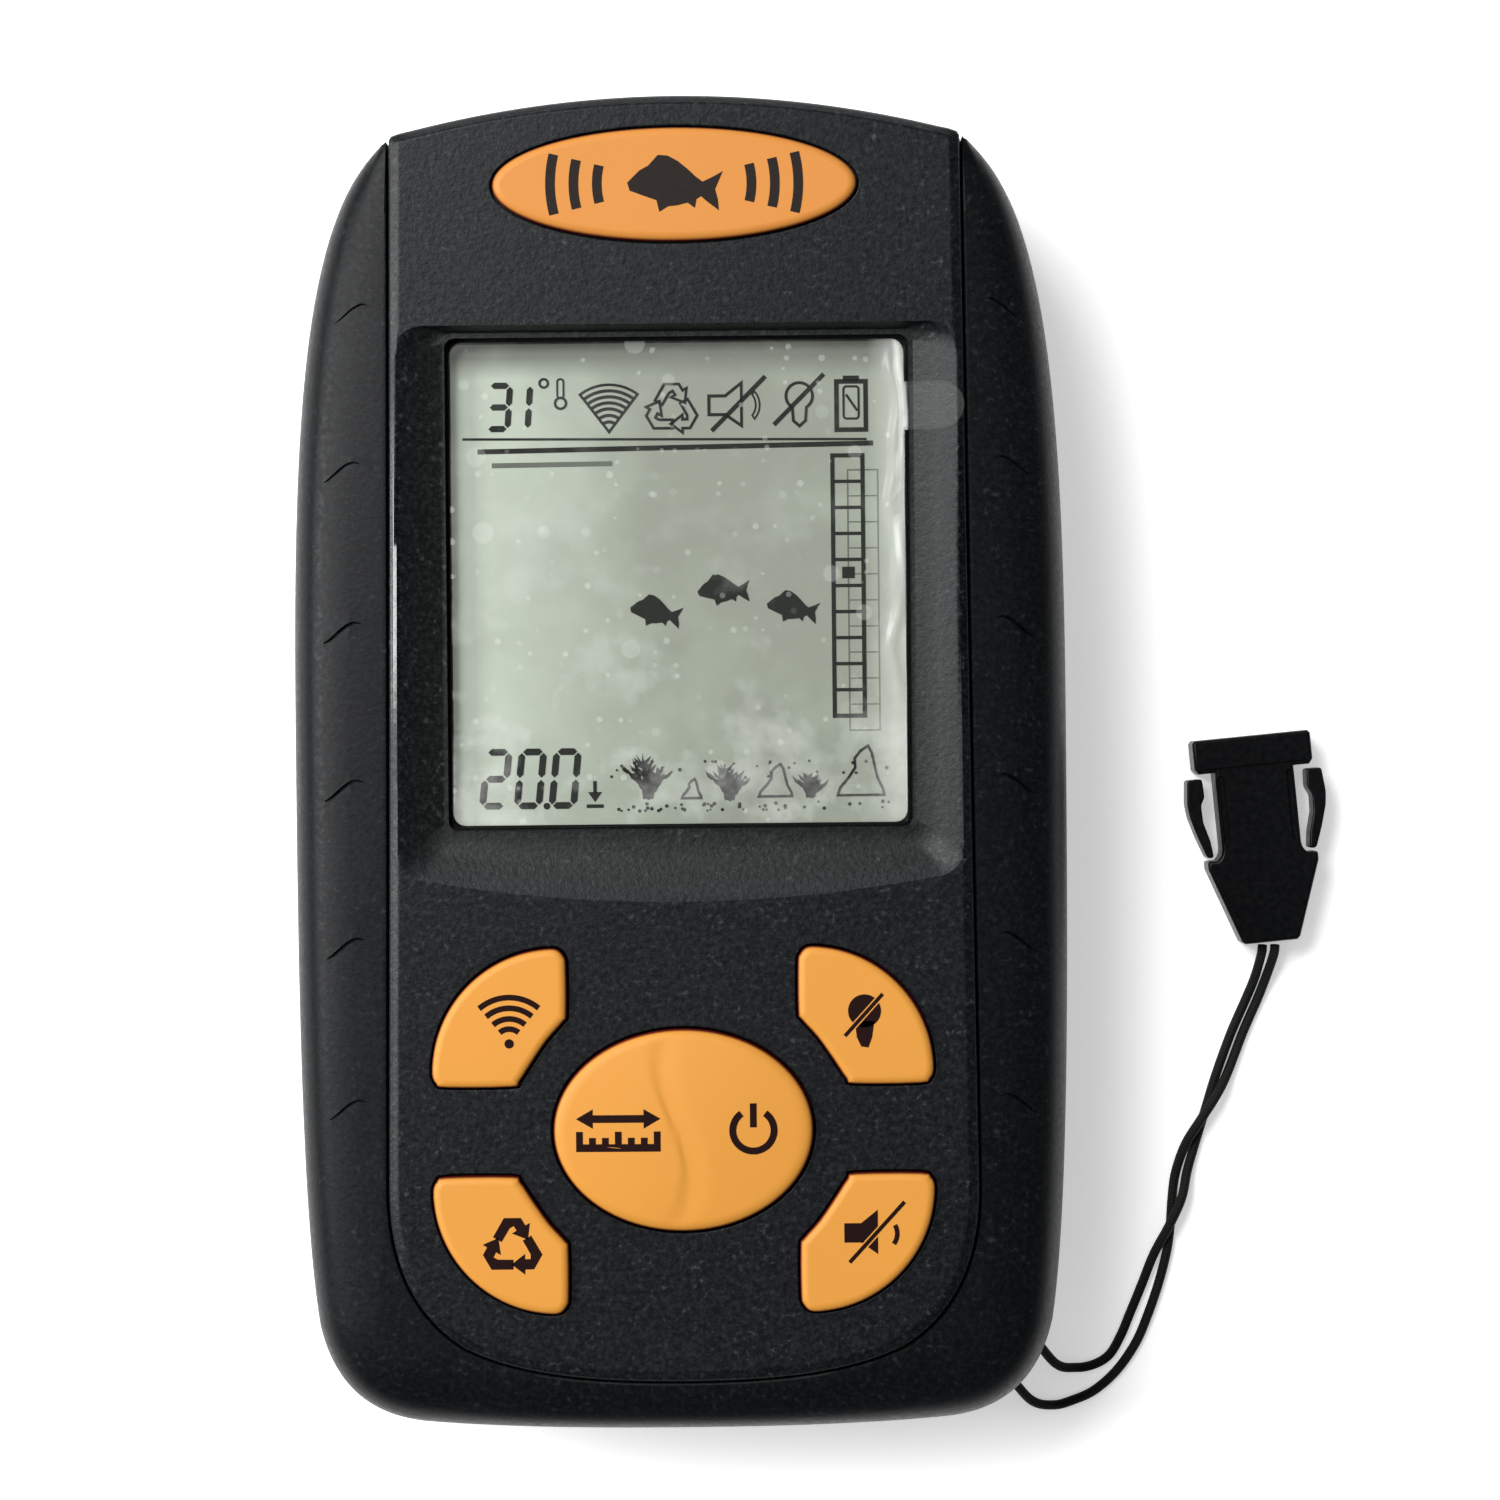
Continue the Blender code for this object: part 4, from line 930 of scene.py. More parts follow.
def recess_outline(width, bottom, sag, top, radius):
    """A rounded rectangle whose lower edge hangs down by sag in its middle."""
    half = width / 2 - radius
    steps = 6 * FINE
    points = []
    for i in range(steps + 1):
        x = -half + 2 * half * i / steps
        points.append((x, bottom - sag * (1 - (x / half) ** 2)))
    points += arc((half, bottom + radius), radius, -72, 0, 8)
    points += arc((half, top - radius), radius, 0, 90, 8)
    points += arc((-half, top - radius), radius, 90, 180, 8)
    points += arc((-half, bottom + radius), radius, 180, 252, 8)
    return points


def between(one, two, share):
    """The outline that lies a share of the way from one to two."""
    return [(a + (c - a) * share, b + (d - b) * share) for (a, b), (c, d) in zip(one, two)]


def dish_levels():
    """Slopes of the dish round the screen, softly rounded where they meet the panel."""
    low = WINDOW_CENTRE_Y - WINDOW[1] / 2
    high = WINDOW_CENTRE_Y + WINDOW[1] / 2
    rim = recess_outline(55.8, -11.4, 2.2, 43.3, 3.0)
    floor = recess_outline(WINDOW[0] + 0.9, low - 0.5, 0.0, high + 0.5, 1.2)
    rise = PANEL_TOP - WINDOW_PLANE
    levels = [(floor, WINDOW_PLANE), (between(floor, rim, 0.5), WINDOW_PLANE + rise * 0.52)]
    levels += [(between(floor, rim, 0.9), WINDOW_PLANE + rise * 0.92), (rim, PANEL_TOP - 0.02)]
    return levels + [(between(floor, rim, 1.06), PANEL_TOP + 0.05)]


# How far in the panel's rounded rim lies at each drop below its top.
PANEL_RIM = ((0.45, 0.236), (0.80, 0.069), (0.88, 0.038), (1.0, 0.01), (1.15, 0.0))
EDGE_ROLL = 1.1                  # how far in from the top arc the panel is rolled off
EDGE_DROP = 0.5
KEY_GAP = 0.2
ROCKER_GAP = 0.22
OPENING_ROUND = 0.14


def roll_top_edge(shell):
    """Lowers the panel along the top arc, less and less towards the shoulders."""
    for vertex in shell.data.vertices:
        x, y, z = (c / MM for c in vertex.co)
        from_top = top_arc_height(x) - y
        if z > FLANGE_TOP + 1 and from_top < EDGE_ROLL:
            near = (1 - max(from_top, 0.0) / EDGE_ROLL) ** 2
            from_shoulder = max(0.0, 28.6 - abs(x))
            vertex.co.z -= EDGE_DROP * near * min(1.0, from_shoulder / 2.5) * MM


def opening(name, outline, low):
    """A cutter through the panel that leaves its edge rounded."""
    return loft(name, [(outline, low)] + flaring(outline, PANEL_TOP, OPENING_ROUND))


def make_casing_front(looks):
    """The panel with its dish and openings, on the waist that the grip wraps, hollow inside."""
    panel = both_halves(panel_half())
    waist = both_halves(waist_half())
    rim = [(inset(panel, depth), PANEL_TOP - drop) for depth, drop in PANEL_RIM]
    shell = loft("casing_front", [(waist, FRONT_RIM), (waist, FLANGE_TOP), (panel, FLANGE_TOP)]
                 + rounding(panel, PANEL_TOP - 0.26, 0.4, 5) + rim, looks["panel"])
    roll_top_edge(shell)
    window = (0, WINDOW_CENTRE_Y)
    seat = rectangle(window, WINDOW, 1.0)
    window_hole = rectangle(window, (WINDOW[0] - 0.9, WINDOW[1] - 0.9), 0.8)
    badge = ellipse(BADGE_CENTRE, (BADGE_AXES[0] + KEY_GAP, BADGE_AXES[1] + KEY_GAP))
    under_keys = clipped(hollow(panel_half(), WALL + 0.2), Vector((0, 1)), -14.8)
    tools = [
        prism("front_hollow", hollow(waist_half(), WALL), FRONT_RIM - 1, FLANGE_TOP - WALL),
        prism("screen_room", hollow(panel_half(), WALL), FLANGE_TOP - WALL - 1, 22.7),
        prism("key_room", under_keys, 21.7, 24.4),
        loft("screen_dish", dish_levels()),
        prism("lens_seat", seat, LENS_SEAT, ABOVE),
        prism("screen_opening", window_hole, 20, ABOVE),
        opening("badge_pocket", badge, PANEL_TOP - 0.9),
    ]
    for name, sign_x, sign_y in CORNER_KEYS:
        tools.append(opening(name + "_opening", inset(mirrored(corner_key(), sign_x, sign_y), -KEY_GAP), 23))
    rocker = ellipse((0, KEYPAD_CENTRE_Y), (ROCKER_AXES[0] + ROCKER_GAP, ROCKER_AXES[1] + ROCKER_GAP))
    tools.append(opening("rocker_opening", rocker, 23))
    cut(shell, *tools)
    even_shading(shell, 40)
    place(shell, "root", "speckled_plastic", "front_shell")


def grip_mark(y, side):
    """A curved nick across the grip: steep on its upper side, and fading out at both ends."""
    builder = bmesh.new()
    narrow = 0.3 * max(0.0, y - 40)
    steps = 20
    rings = []
    for i in range(steps + 1):
        t = i / steps
        x = 35.2 - narrow - 4.3 * t
        curve = y + 2.05 * math.sin(math.pi / 2 * min(1.0, t * 1.3)) ** 1.4 - 0.35 * max(0.0, t - 0.77) / 0.23
        fade = math.sin(math.pi * min(max(t, 0.01), 0.99)) ** 0.6 * (1.15 - 0.6 * t)
        depth = 0.04 + 0.46 * fade
        surface = grip_height(x + 0.6 * narrow)
        rings.append([builder.verts.new(p) for p in (
            (side * x, curve - 1.3 * depth - 0.1, surface + 0.3), (side * x, curve + 0.12, surface + 0.3),
            (side * x, curve + 0.02, surface - depth),
        )])
    for one, two in zip(rings, rings[1:]):
        ring_of_faces(builder, one, two)
    builder.faces.new(rings[0])
    builder.faces.new(rings[-1])
    return new_object(f"nick_{y:.0f}_{side}", builder)


TIP_START = 50                   # above it the grip is drawn out by TIP_RISE, so that its tips reach further
TIP_RISE = 0.03
# How far in from the grip's edge its shoulder reaches each height.
GRIP_SIDE = ((0.0, 19.0), (0.12, 20.4), (0.45, 21.8), (0.95, 22.9), (1.6, 23.75), (2.4, 24.35), (3.4, 24.75),
             (4.6, 25.05), (6.0, 25.35), (7.4, 25.55))


def grip_height(x):
    """Height of the grip's top at a place on its straight side."""
    depth = BODY_HALF_WIDTH - abs(x)
    for (one, low), (two, high) in zip(GRIP_SIDE, GRIP_SIDE[1:]):
        if depth <= two:
            return low + (high - low) * (depth - one) / (two - one)
    return GRIP_TOP


def eye_room(name):
    """A cutter for the room round the strap's pin at the lower right corner."""
    inner = EYE - EYE_OUT * 3.0
    outer = EYE + EYE_OUT * 9.0
    half = EYE_ALONG * 4.3
    corners = [inner - half, outer - half, outer + half, inner + half]
    return prism(name, [tuple(c) for c in corners], 2.4, 8.6)


def make_grip(looks):
    """The U-shaped grip: skirt, round shoulder and a top that rises gently to the groove."""
    outer, groove = ([(x, y + TIP_RISE * max(0.0, y - TIP_START)) for x, y in half[:-1]]
                     for half in (grip_half(), groove_half()))
    facing = normals(body_outline())
    builder = bmesh.new()
    stations = []
    for (ox, oy), (gx, gy), n in zip(outer, groove, facing):
        edge = Vector((ox, oy))
        lip = Vector((gx, gy)) + n * LIP_OFFSET
        width = (edge - lip).length
        skirt = edge - n * SKIRT_THICKNESS
        skirt = Vector((lip.x, oy)) if oy > 40 and skirt.x < lip.x else skirt
        share = min(1.0, width / 9.2)
        station = [(edge - n * 0.7 * share, SKIRT_BOTTOM + GAP), (edge - n * 0.2 * share, SKIRT_BOTTOM + 1.0),
                   (edge, SKIRT_BOTTOM + 2.6)]
        station += [(edge - n * depth * share, height) for depth, height in GRIP_SIDE[:-1]]
        station += [(lip + n * 0.5 * share, GRIP_TOP - 0.02), (lip + n * 0.12, GRIP_TOP - 0.04),
                    (lip, GRIP_TOP - 0.16), (lip, FLANGE_TOP + GAP), (skirt, FLANGE_TOP + GAP),
                    (skirt, SKIRT_BOTTOM + GAP)]
        stations.append(station)
    left = [[(Vector((-p.x, p.y)), z) for p, z in station] for station in stations[1:]]
    rings = [[builder.verts.new((p.x, p.y, z)) for p, z in station] for station in left[::-1] + stations]
    for one, two in zip(rings, rings[1:]):
        ring_of_faces(builder, one, two)
    builder.faces.new(rings[0])
    builder.faces.new(list(reversed(rings[-1])))
    grip = new_object("grip", builder, looks["grip"], 40)
    marks = [grip_mark(y, side) for y in (43.6, 28.0, 12.2, -3.4, -19.0, -35.0) for side in (-1, 1)]
    cut(grip, eye_room("eye_room"), *marks)
    even_shading(grip, 40)
    place(grip, "root", "grip_plastic", "grip_bumper")


SCREW_RADIUS = 2.0
COUNTERBORE_RADIUS = 2.4


def back_cutters():
    """What is taken out of the back: bay, door and hinge room, counterbores, sound holes, finger ribs."""
    tools = [
        prism("bay_room", rectangle(BAY_CENTRE, (44.4, 51.4)), -1, 13.4),
        prism("door_room", rectangle(BAY_CENTRE, (46.6, 57.8), 1.0), -1, 2.3),
        eye_room("eye_room"),
    ]
    for side in (-1, 1):
        near, far = sorted((side * 22.5, side * 25.0))
        tools.append(box(f"hinge_slot_{side}", (near, 18.65, 0.4), (far, 20.55, 2.4)))
    for x, y in CASE_SCREWS:
        bore = circle((x, y), COUNTERBORE_RADIUS)
        levels = [(inset(bore, -0.5), -0.5), (inset(bore, -0.25), 0.0), (bore, 0.3), (bore, 4.2)]
        tools.append(loft(f"counterbore_{x:.0f}_{y:.0f}", levels))
    for ring, count in ((0.0, 1), (2.2, 6), (4.4, 12)):
        for i in range(count):
            turn = 2 * math.pi * i / count
            spot = (-13 + ring * math.cos(turn), 34 + ring * math.sin(turn))
            tools.append(prism(f"sound_hole_{ring:.0f}_{i}", circle(spot, 0.55, 14), -1, 3))
    for side in (-1, 1):
        for i in range(6):
            rib = rectangle((side * 12.5, -52.4 + i * 1.9), ((9.5 - abs(i - 2.5) * 0.7) * 2, 0.9), 0.42)
            tools.append(prism(f"finger_rib_{side}_{i}", rib, -1, 0.35))
    return tools


def make_back(looks):
    """The back shell: a rounded tray with the battery bay's walls in it."""
    corner = top_arc()[0]
    body = both_halves(grip_half()[:-2] + [corner, corner] + top_arc())
    waist = both_halves(waist_half())
    foot = []
    for i in range(9):
        turn = math.pi / 2 * i / 8
        foot.append((inset(body, 3.6 * (1 - math.sin(turn))), 4.0 * (1 - math.cos(turn))))
    shell = loft("casing_back", foot + [(body, SKIRT_BOTTOM), (waist, SKIRT_BOTTOM), (waist, BACK_RIM)],
                 looks["back"])
    room = clipped(hollow(waist_half(), WALL), EYE_OUT, EYE.dot(EYE_OUT) - 4.8)
    cut(shell, prism("back_hollow", room, 2.0, BACK_RIM + 1))
    join(shell, prism("bay_walls", rectangle(BAY_CENTRE, (48.4, 56.4)), 1.0, 14.6))
    cut(shell, *back_cutters())
    even_shading(shell, 40)
    place(shell, "root", "back_plastic", "back_shell")


HINGE_Y = 19.6
DOOR_END_Y = -35.6
DOOR_HALF_THICKNESS = 0.95


def make_door(looks):
    """Battery door with a rounded hinge edge, latch notch, press arrow and finger ribs."""
    hinge = (HINGE_Y, DOOR_HALF_THICKNESS)
    rounded_end = arc(hinge, DOOR_HALF_THICKNESS, 90, -90, 14)
    profile = [(DOOR_END_Y + 0.25, 0.0), (DOOR_END_Y, 0.25), (DOOR_END_Y, 1.9)] + rounded_end
    door = along_x("bay_door", profile, -23.0, 23.0, looks["back"])
    join(door, along_x("hinge_stubs", circle(hinge, 0.55, 20), -24.4, 24.4))
    tools = [
        box("latch_notch", (-6.3, -37, -1), (6.3, -28.3, 3)),
        prism("press_arrow", [(-2.2, -22.6), (0.0, -25.2), (2.2, -22.6)], -1, 0.3),
    ]
    for i in range(5):
        y = -20.6 + 1.7 * i
        tools.append(prism(f"door_rib_{i}", rectangle((0, y), (13.0 - i, 0.8), 0.38), -1, 0.3))
    for side in (-1, 1):
        groove = rectangle((side * 19.8, BAY_CENTRE[1]), (0.8, 44.0), 0.38)
        tools.append(prism(f"long_groove_{side}", groove, -1, 0.25))
    cut(door, *tools)
    even_shading(door, 40)
    place(door, "door", "back_plastic", "battery_door")
    latch_profile = [
        (-35.4, 0.35), (-35.4, 1.5), (-35.2, 1.7), (-34.4, 1.7), (-34.0, 1.1), (-28.6, 1.1), (-28.6, 0.1),
        (-32.2, 0.1), (-32.5, 0.3), (-32.8, 0.1), (-33.1, 0.1), (-33.4, 0.3), (-33.7, 0.1), (-34.0, 0.1),
        (-34.3, 0.3), (-34.6, 0.1), (-35.15, 0.1),
    ]
    latch = along_x("bay_latch", latch_profile, -6.0, 6.0, looks["back"])
    even_shading(latch)
    place(latch, "latch", "back_plastic", "door_latch")


def make_screws(looks):
    """Pan-head screws down in their counterbores, each with a cross recess."""
    for i, (x, y) in enumerate(CASE_SCREWS):
        low = [(circle((x, y), SCREW_RADIUS * math.sin(a)), 3.0 - 0.8 * math.cos(a))
               for a in (0.35, 0.7, 1.1, math.pi / 2)]
        screw = loft(f"screw_{i + 1}", low + [
            (circle((x, y), SCREW_RADIUS), 3.9), (circle((x, y), 1.0), 3.9), (circle((x, y), 1.0), 18.6),
            (circle((x, y), 0.4), 19.4),
        ], looks["steel"])
        arms = [box("cross_x", (x - 1.15, y - 0.24, 1), (x + 1.15, y + 0.24, 3.1)),
                box("cross_y", (x - 0.24, y - 1.15, 1), (x + 0.24, y + 1.15, 3.1))]
        cut(screw, *arms)
        even_shading(screw)
        place(screw, "root", "nickel_steel", f"case_screw_{i + 1}")


# ---------------------------------------------------------------- keys, badge

def key_surface(x, y):
    """Height of the rocker's top: a low dome with an S-shaped crease across it.

    The crease drops sharply on its left and comes back up gently on its right.
    """
    local_y = y - KEYPAD_CENTRE_Y
    spread = min(1.0, (x / ROCKER_AXES[0]) ** 2 + (local_y / ROCKER_AXES[1]) ** 2)
    dome = 0.5 * (1 - spread)
    off = x + 1.15 + 1.45 * math.sin(math.pi * (local_y - 1.2) / 11)
    drop = min(max((off + 0.55) / 0.55, 0.0), 1.0)
    rise = min(max(off / 2.6, 0.0), 1.0)
    crease = 0.15 * drop * drop * (3 - 2 * drop) * (1 - rise * rise * (3 - 2 * rise))
    return KEY_TOP + dome - crease * (1 - spread ** 4)


def under_key(outline, plunger, bottom):
    """Levels of a key below its rounded top: plunger, flange and wall."""
    flange_low, flange_high, outward = KEY_FLANGE
    flange = inset(outline, -outward)
    return [(plunger, bottom), (plunger, flange_low), (flange, flange_low), (flange, flange_high),
            (outline, flange_high)]


def make_rocker(looks):
    """The oval rocker, whose top is drawn in rings that follow its dome and crease."""
    oval = ellipse((0, KEYPAD_CENTRE_Y), ROCKER_AXES)

    def shrunk(share):
        return [(x * share, KEYPAD_CENTRE_Y + (y - KEYPAD_CENTRE_Y) * share) for x, y in oval]

    builder = bmesh.new()
    levels = under_key(oval, shrunk(0.86), ROCKER_BOTTOM) + rounding(oval, KEY_TOP, ROCKER_ROUND, 6)[:-1]
    rings = [[builder.verts.new((x, y, z)) for x, y in outline] for outline, z in levels]
    steps = 26
    widest = 1 - ROCKER_ROUND / ROCKER_AXES[1]
    for i in range(steps):
        ring = shrunk(widest - i / steps * widest)
        rings.append([builder.verts.new((x, y, key_surface(x, y))) for x, y in ring])
    for lower, upper in zip(rings, rings[1:]):
        ring_of_faces(builder, lower, upper)
    builder.faces.new(list(reversed(rings[0])))
    builder.faces.new(rings[-1])
    rocker = new_object("rocker_key", builder, looks["key"], 45)
    place(rocker, "rocker", "key_orange", "key_rocker")


def make_corner_keys(looks):
    """The same key four times, mirrored into the corners, each on its own body."""
    for name, sign_x, sign_y in CORNER_KEYS:
        outline = mirrored(corner_key(), sign_x, sign_y)
        centre = (sign_x * 17.8, KEYPAD_CENTRE_Y + sign_y * 10.6)
        plunger = [(centre[0] + (x - centre[0]) * 0.3, centre[1] + (y - centre[1]) * 0.3) for x, y in outline]
        levels = under_key(outline, plunger, PLUNGER_BOTTOM) + rounding(outline, KEY_TOP, 0.85, 7, 0.6)
        key = even_shading(loft(f"{name}_key_cap", levels, looks["key"]), 45)
        place(key, f"{name}_key", "key_orange", f"key_{name}")


def make_badge(looks):
    outline = ellipse(BADGE_CENTRE, BADGE_AXES)
    levels = [(outline, PANEL_TOP - 0.6)] + rounding(outline, PANEL_TOP + 0.7, 0.9, 7, 0.7)
    badge = even_shading(loft("badge_plate", levels, looks["badge"]), 45)
    place(badge, "root", "badge_orange", "badge")


# ---------------------------------------------------------------- flat marks
# A mark is a list of loops: one loop for a filled plate, an outer and an inner loop for a band.

def stroke(points, width):
    """A line of that width through the points, with square ends."""
    vectors = [Vector(p) for p in points]
    left, right = [], []
    for i, here in enumerate(vectors):
        forward = vectors[min(i + 1, len(vectors) - 1)] - vectors[max(i - 1, 0)]
        side = Vector((-forward.y, forward.x)).normalized() * width / 2
        left.append(tuple(here + side))
        right.append(tuple(here - side))
    return [right + left[::-1]]


def taper(points, width):
    """A blade: a line that narrows to a point at its far end."""
    vectors = [Vector(p) for p in points]
    left, right = [], []
    for i, here in enumerate(vectors[:-1]):
        forward = vectors[i + 1] - here
        narrower = 1 - (i / (len(vectors) - 1)) ** 2
        side = Vector((-forward.y, forward.x)).normalized() * width / 2 * narrower
        left.append(tuple(here + side))
        right.append(tuple(here - side))
    return [right + [tuple(vectors[-1])] + left[::-1]]


def band(outline, width):
    """A line of that width all along a closed outline."""
    facing = normals(outline)
    half = width / 2
    outer = [(x + n.x * half, y + n.y * half) for (x, y), n in zip(outline, facing)]
    inner = [(x - n.x * half, y - n.y * half) for (x, y), n in zip(outline, facing)]
    return [outer, inner]


def marks(name, shapes, height, thickness, finish, body, slot):
    """Thin flat plates, all in one piece of that name. height is a number or a function of x and y."""
    builder = bmesh.new()
    surface = height if callable(height) else lambda x, y: height

    def corners(loop, lift):
        return [builder.verts.new((x, y, surface(x, y) + lift)) for x, y in loop]

    for loops in shapes:
        low = [corners(loop, 0.0) for loop in loops]
        high = [corners(loop, thickness) for loop in loops]
        for one, two in zip(low, high):
            ring_of_faces(builder, one, two)
        if len(loops) == 2:
            ring_of_faces(builder, *low)
            ring_of_faces(builder, *high)
        else:
            builder.faces.new(low[0][::-1])
            builder.faces.new(high[0])
    return place(new_object(name, builder, finish), body, slot)


def moved(shapes, x, y, size=1.0, turn=0.0):
    """The marks scaled, turned by degrees and shifted to x, y."""
    cos, sin = math.cos(math.radians(turn)), math.sin(math.radians(turn))

    def at(u, v):
        return x + size * (u * cos - v * sin), y + size * (u * sin + v * cos)

    return [[[at(u, v) for u, v in loop] for loop in loops] for loops in shapes]


def split_along(loop, start, end, gap):
    """The two parts of a convex plate on both sides of a slash, gap clear of its middle."""
    along = (Vector(end) - Vector(start)).normalized()
    across = Vector((along.y, -along.x))
    middle = Vector(start).dot(across)
    parts = [clipped(loop, across, middle - gap), clipped(loop, -across, -middle - gap)]
    return [[part] for part in parts if len(part) > 2]


def wave_sign():
    """A dot with four arcs over it, solid."""
    shapes = [[circle((0, 0), 0.46, 24)]]
    for radius in (1.45, 2.45, 3.5, 4.55):
        shapes.append(stroke(arc((0, 0), radius, 50, 130, 20), 0.56))
    return shapes


def wave_lines():
    """The same sign as the screen shows it: a fan drawn in thin lines."""
    rim = [(0, 0)] + arc((0, 0), 4.7, 52.5, 127.5, 18)
    shapes = [band(rim, 0.26)]
    return shapes + [stroke(arc((0, 0), r, 54, 126, 16), 0.32) for r in (1.0, 1.65, 2.3, 2.9, 3.5, 4.1)]


BULB = [(1.62 * math.sin(a), 1.62 * math.cos(a)) for a in (-2 * math.pi * k / 40 for k in range(40))]
NECK = [(-0.95, -1.0), (-0.78, -2.6), (-0.35, -3.5), (0.35, -3.6), (0.72, -2.6), (0.95, -1.0)]


def lamp_sign():
    """A solid bulb struck through, with a clear gap beside the slash."""
    start, end = (-1.95, -2.45), (1.8, 1.65)
    shapes = []
    for loop in (BULB, NECK):
        shapes += split_along(loop, start, end, 0.32)
    return shapes + [stroke([start, end], 0.36)]


def lamp_lines():
    """The bulb as the screen shows it, in outline."""
    rim = arc((0, 0), 1.35, -58, 238, 30) + [(-0.62, -2.5), (0, -3.05), (0.62, -2.5)]
    return [band(rim, 0.3), stroke([(-2.6, -2.9), (2.5, 2.2)], 0.45)]


def bent_arrow():
    """One of three arrows that chase each other round a triangle."""
    return [(-1.95, 1.05), (-0.85, 2.95), (0.85, 2.95), (1.3, 2.2), (1.75, 2.45), (1.55, 0.75), (-0.05, 1.4),
            (0.42, 1.68), (0.12, 2.15), (-0.3, 1.9), (-1.1, 0.55)][::-1]


def three_round(arrow, size):
    return [shape for i in range(3) for shape in moved([arrow], 0, 0, size, 120 * i)]


SPEAKER_BOX = [(-2.85, -0.95), (-1.2, -0.95), (-1.2, 0.95), (-2.85, 0.95)]
SPEAKER_CONE = [(-1.2, -0.95), (0.45, -2.1), (0.45, 2.25), (-1.2, 0.95)]


def mute_sign():
    """A solid loudspeaker and one sound wave, struck through."""
    start, end = (-2.35, -2.9), (3.1, 3.0)
    shapes = []
    for loop in (SPEAKER_BOX, SPEAKER_CONE):
        shapes += split_along(loop, start, end, 0.34)
    return shapes + [stroke([start, end], 0.38), stroke(arc((0.7, -0.1), 1.65, -38, 30, 12), 0.46)]


def mute_lines():
    """The loudspeaker as the screen shows it, in outline."""
    rim = [(-2.85, -0.95), (-1.2, -0.95), (0.45, -2.1), (0.45, 2.25), (-1.2, 0.95), (-2.85, 0.95)]
    crescent = arc((0.2, 0), 2.1, -42, 42, 12) + arc((0.2, 0), 1.7, 38, -38, 12)
    return [band(rim, 0.32), band(crescent, 0.18), stroke([(-2.6, -2.6), (2.9, 2.9)], 0.45)]


def bar(start, end, width):
    """A straight stroke with points close enough to follow a domed key."""
    one, two = Vector(start), Vector(end)
    count = max(1, round((two - one).length / 0.4))
    return stroke([tuple(one.lerp(two, i / count)) for i in range(count + 1)], width)


def length_sign():
    """A ruler with a two-headed arrow over it: changes the units of depth."""
    shapes = [bar((-4.15, -1.6), (4.15, -1.6), 0.75)]
    for i in range(7):
        x = -3.82 + 7.64 * i / 6
        shapes.append(bar((x, -1.25), (x, 0.0 if i % 3 == 0 else -0.6), 0.66))
    shapes.append(bar((-2.6, 1.25), (2.6, 1.25), 0.75))
    for side in (-1, 1):
        head = [(side * 4.15, 1.25), (side * 2.5, 0.3), (side * 2.5, 2.2)]
        shapes.append([head if side < 0 else head[::-1]])
    return shapes


def power_sign():
    """A ring open at the top, with an upright stroke in the gap."""
    ring = [stroke(arc((0, 0), 2.03, start, start + 145, 22), 0.68) for start in (125, 270)]
    return ring + [stroke([(0, 0.3), (0, 2.65)], 0.66)]


def make_legends(looks):
    """Black printed signs on the keys."""
    y0 = KEYPAD_CENTRE_Y
    signs = (
        ("legend_waves", wave_sign(), (-17.04, y0 + 8.7), "sonar_key"),
        ("legend_lamp", lamp_sign(), (17.9, y0 + 11.6), "light_key"),
        ("legend_loop", three_round([bent_arrow()], 0.98), (-16.9, y0 - 11.3), "loop_key"),
        ("legend_mute", mute_sign(), (18.55, y0 - 10.2), "mute_key"),
        ("legend_length", length_sign(), (-6.4, y0), "rocker"),
        ("legend_power", power_sign(), (6.87, y0), "rocker"),
    )
    for name, shapes, (x, y), body in signs:
        height = (lambda u, v: key_surface(u, v) + 0.012) if body == "rocker" else KEY_TOP + 0.006
        marks(name, moved(shapes, x, y), height, 0.03, looks["ink"], body, "black_rubber")


def fish():
    """A plain fish seen from the side, its nose to the left."""
    return [[(-2.64, 0.0), (-1.95, 0.68), (-1.45, 0.95), (-0.9, 1.55), (-0.35, 1.5), (0.2, 1.2), (0.75, 0.75),
             (1.2, 0.32), (1.6, 0.02), (2.2, 0.3), (2.74, 0.6), (2.3, -0.4), (2.45, -1.0), (2.5, -1.6),
             (1.85, -1.1), (1.5, -0.8), (1.25, -0.95), (1.15, -1.45), (0.75, -1.15), (0.15, -1.3),
             (-0.35, -1.35), (-0.85, -1.65), (-1.0, -1.0), (-1.7, -0.75), (-2.5, -0.45)][::-1]]


def make_badge_mark(looks):
    """A generic sign in place of lettering: a fish between sonar rings."""
    x, y = BADGE_CENTRE
    shapes = moved([fish()], x, y + 0.1, 1.75)
    for middle in (0, 180):
        for radius in (7.6, 9.9, 12.2):
            shapes.append(stroke(arc((x, y), radius, middle - 14, middle + 14, 16), 0.95))
    marks("badge_mark", shapes, PANEL_TOP + 0.705, 0.03, looks["mark"], "root", "black_rubber")


# ---------------------------------------------------------------- screen

LCD_TOP = 22.2
DIGITS = {"0": "abcdef", "1": "bc", "2": "abged", "3": "abgcd"}


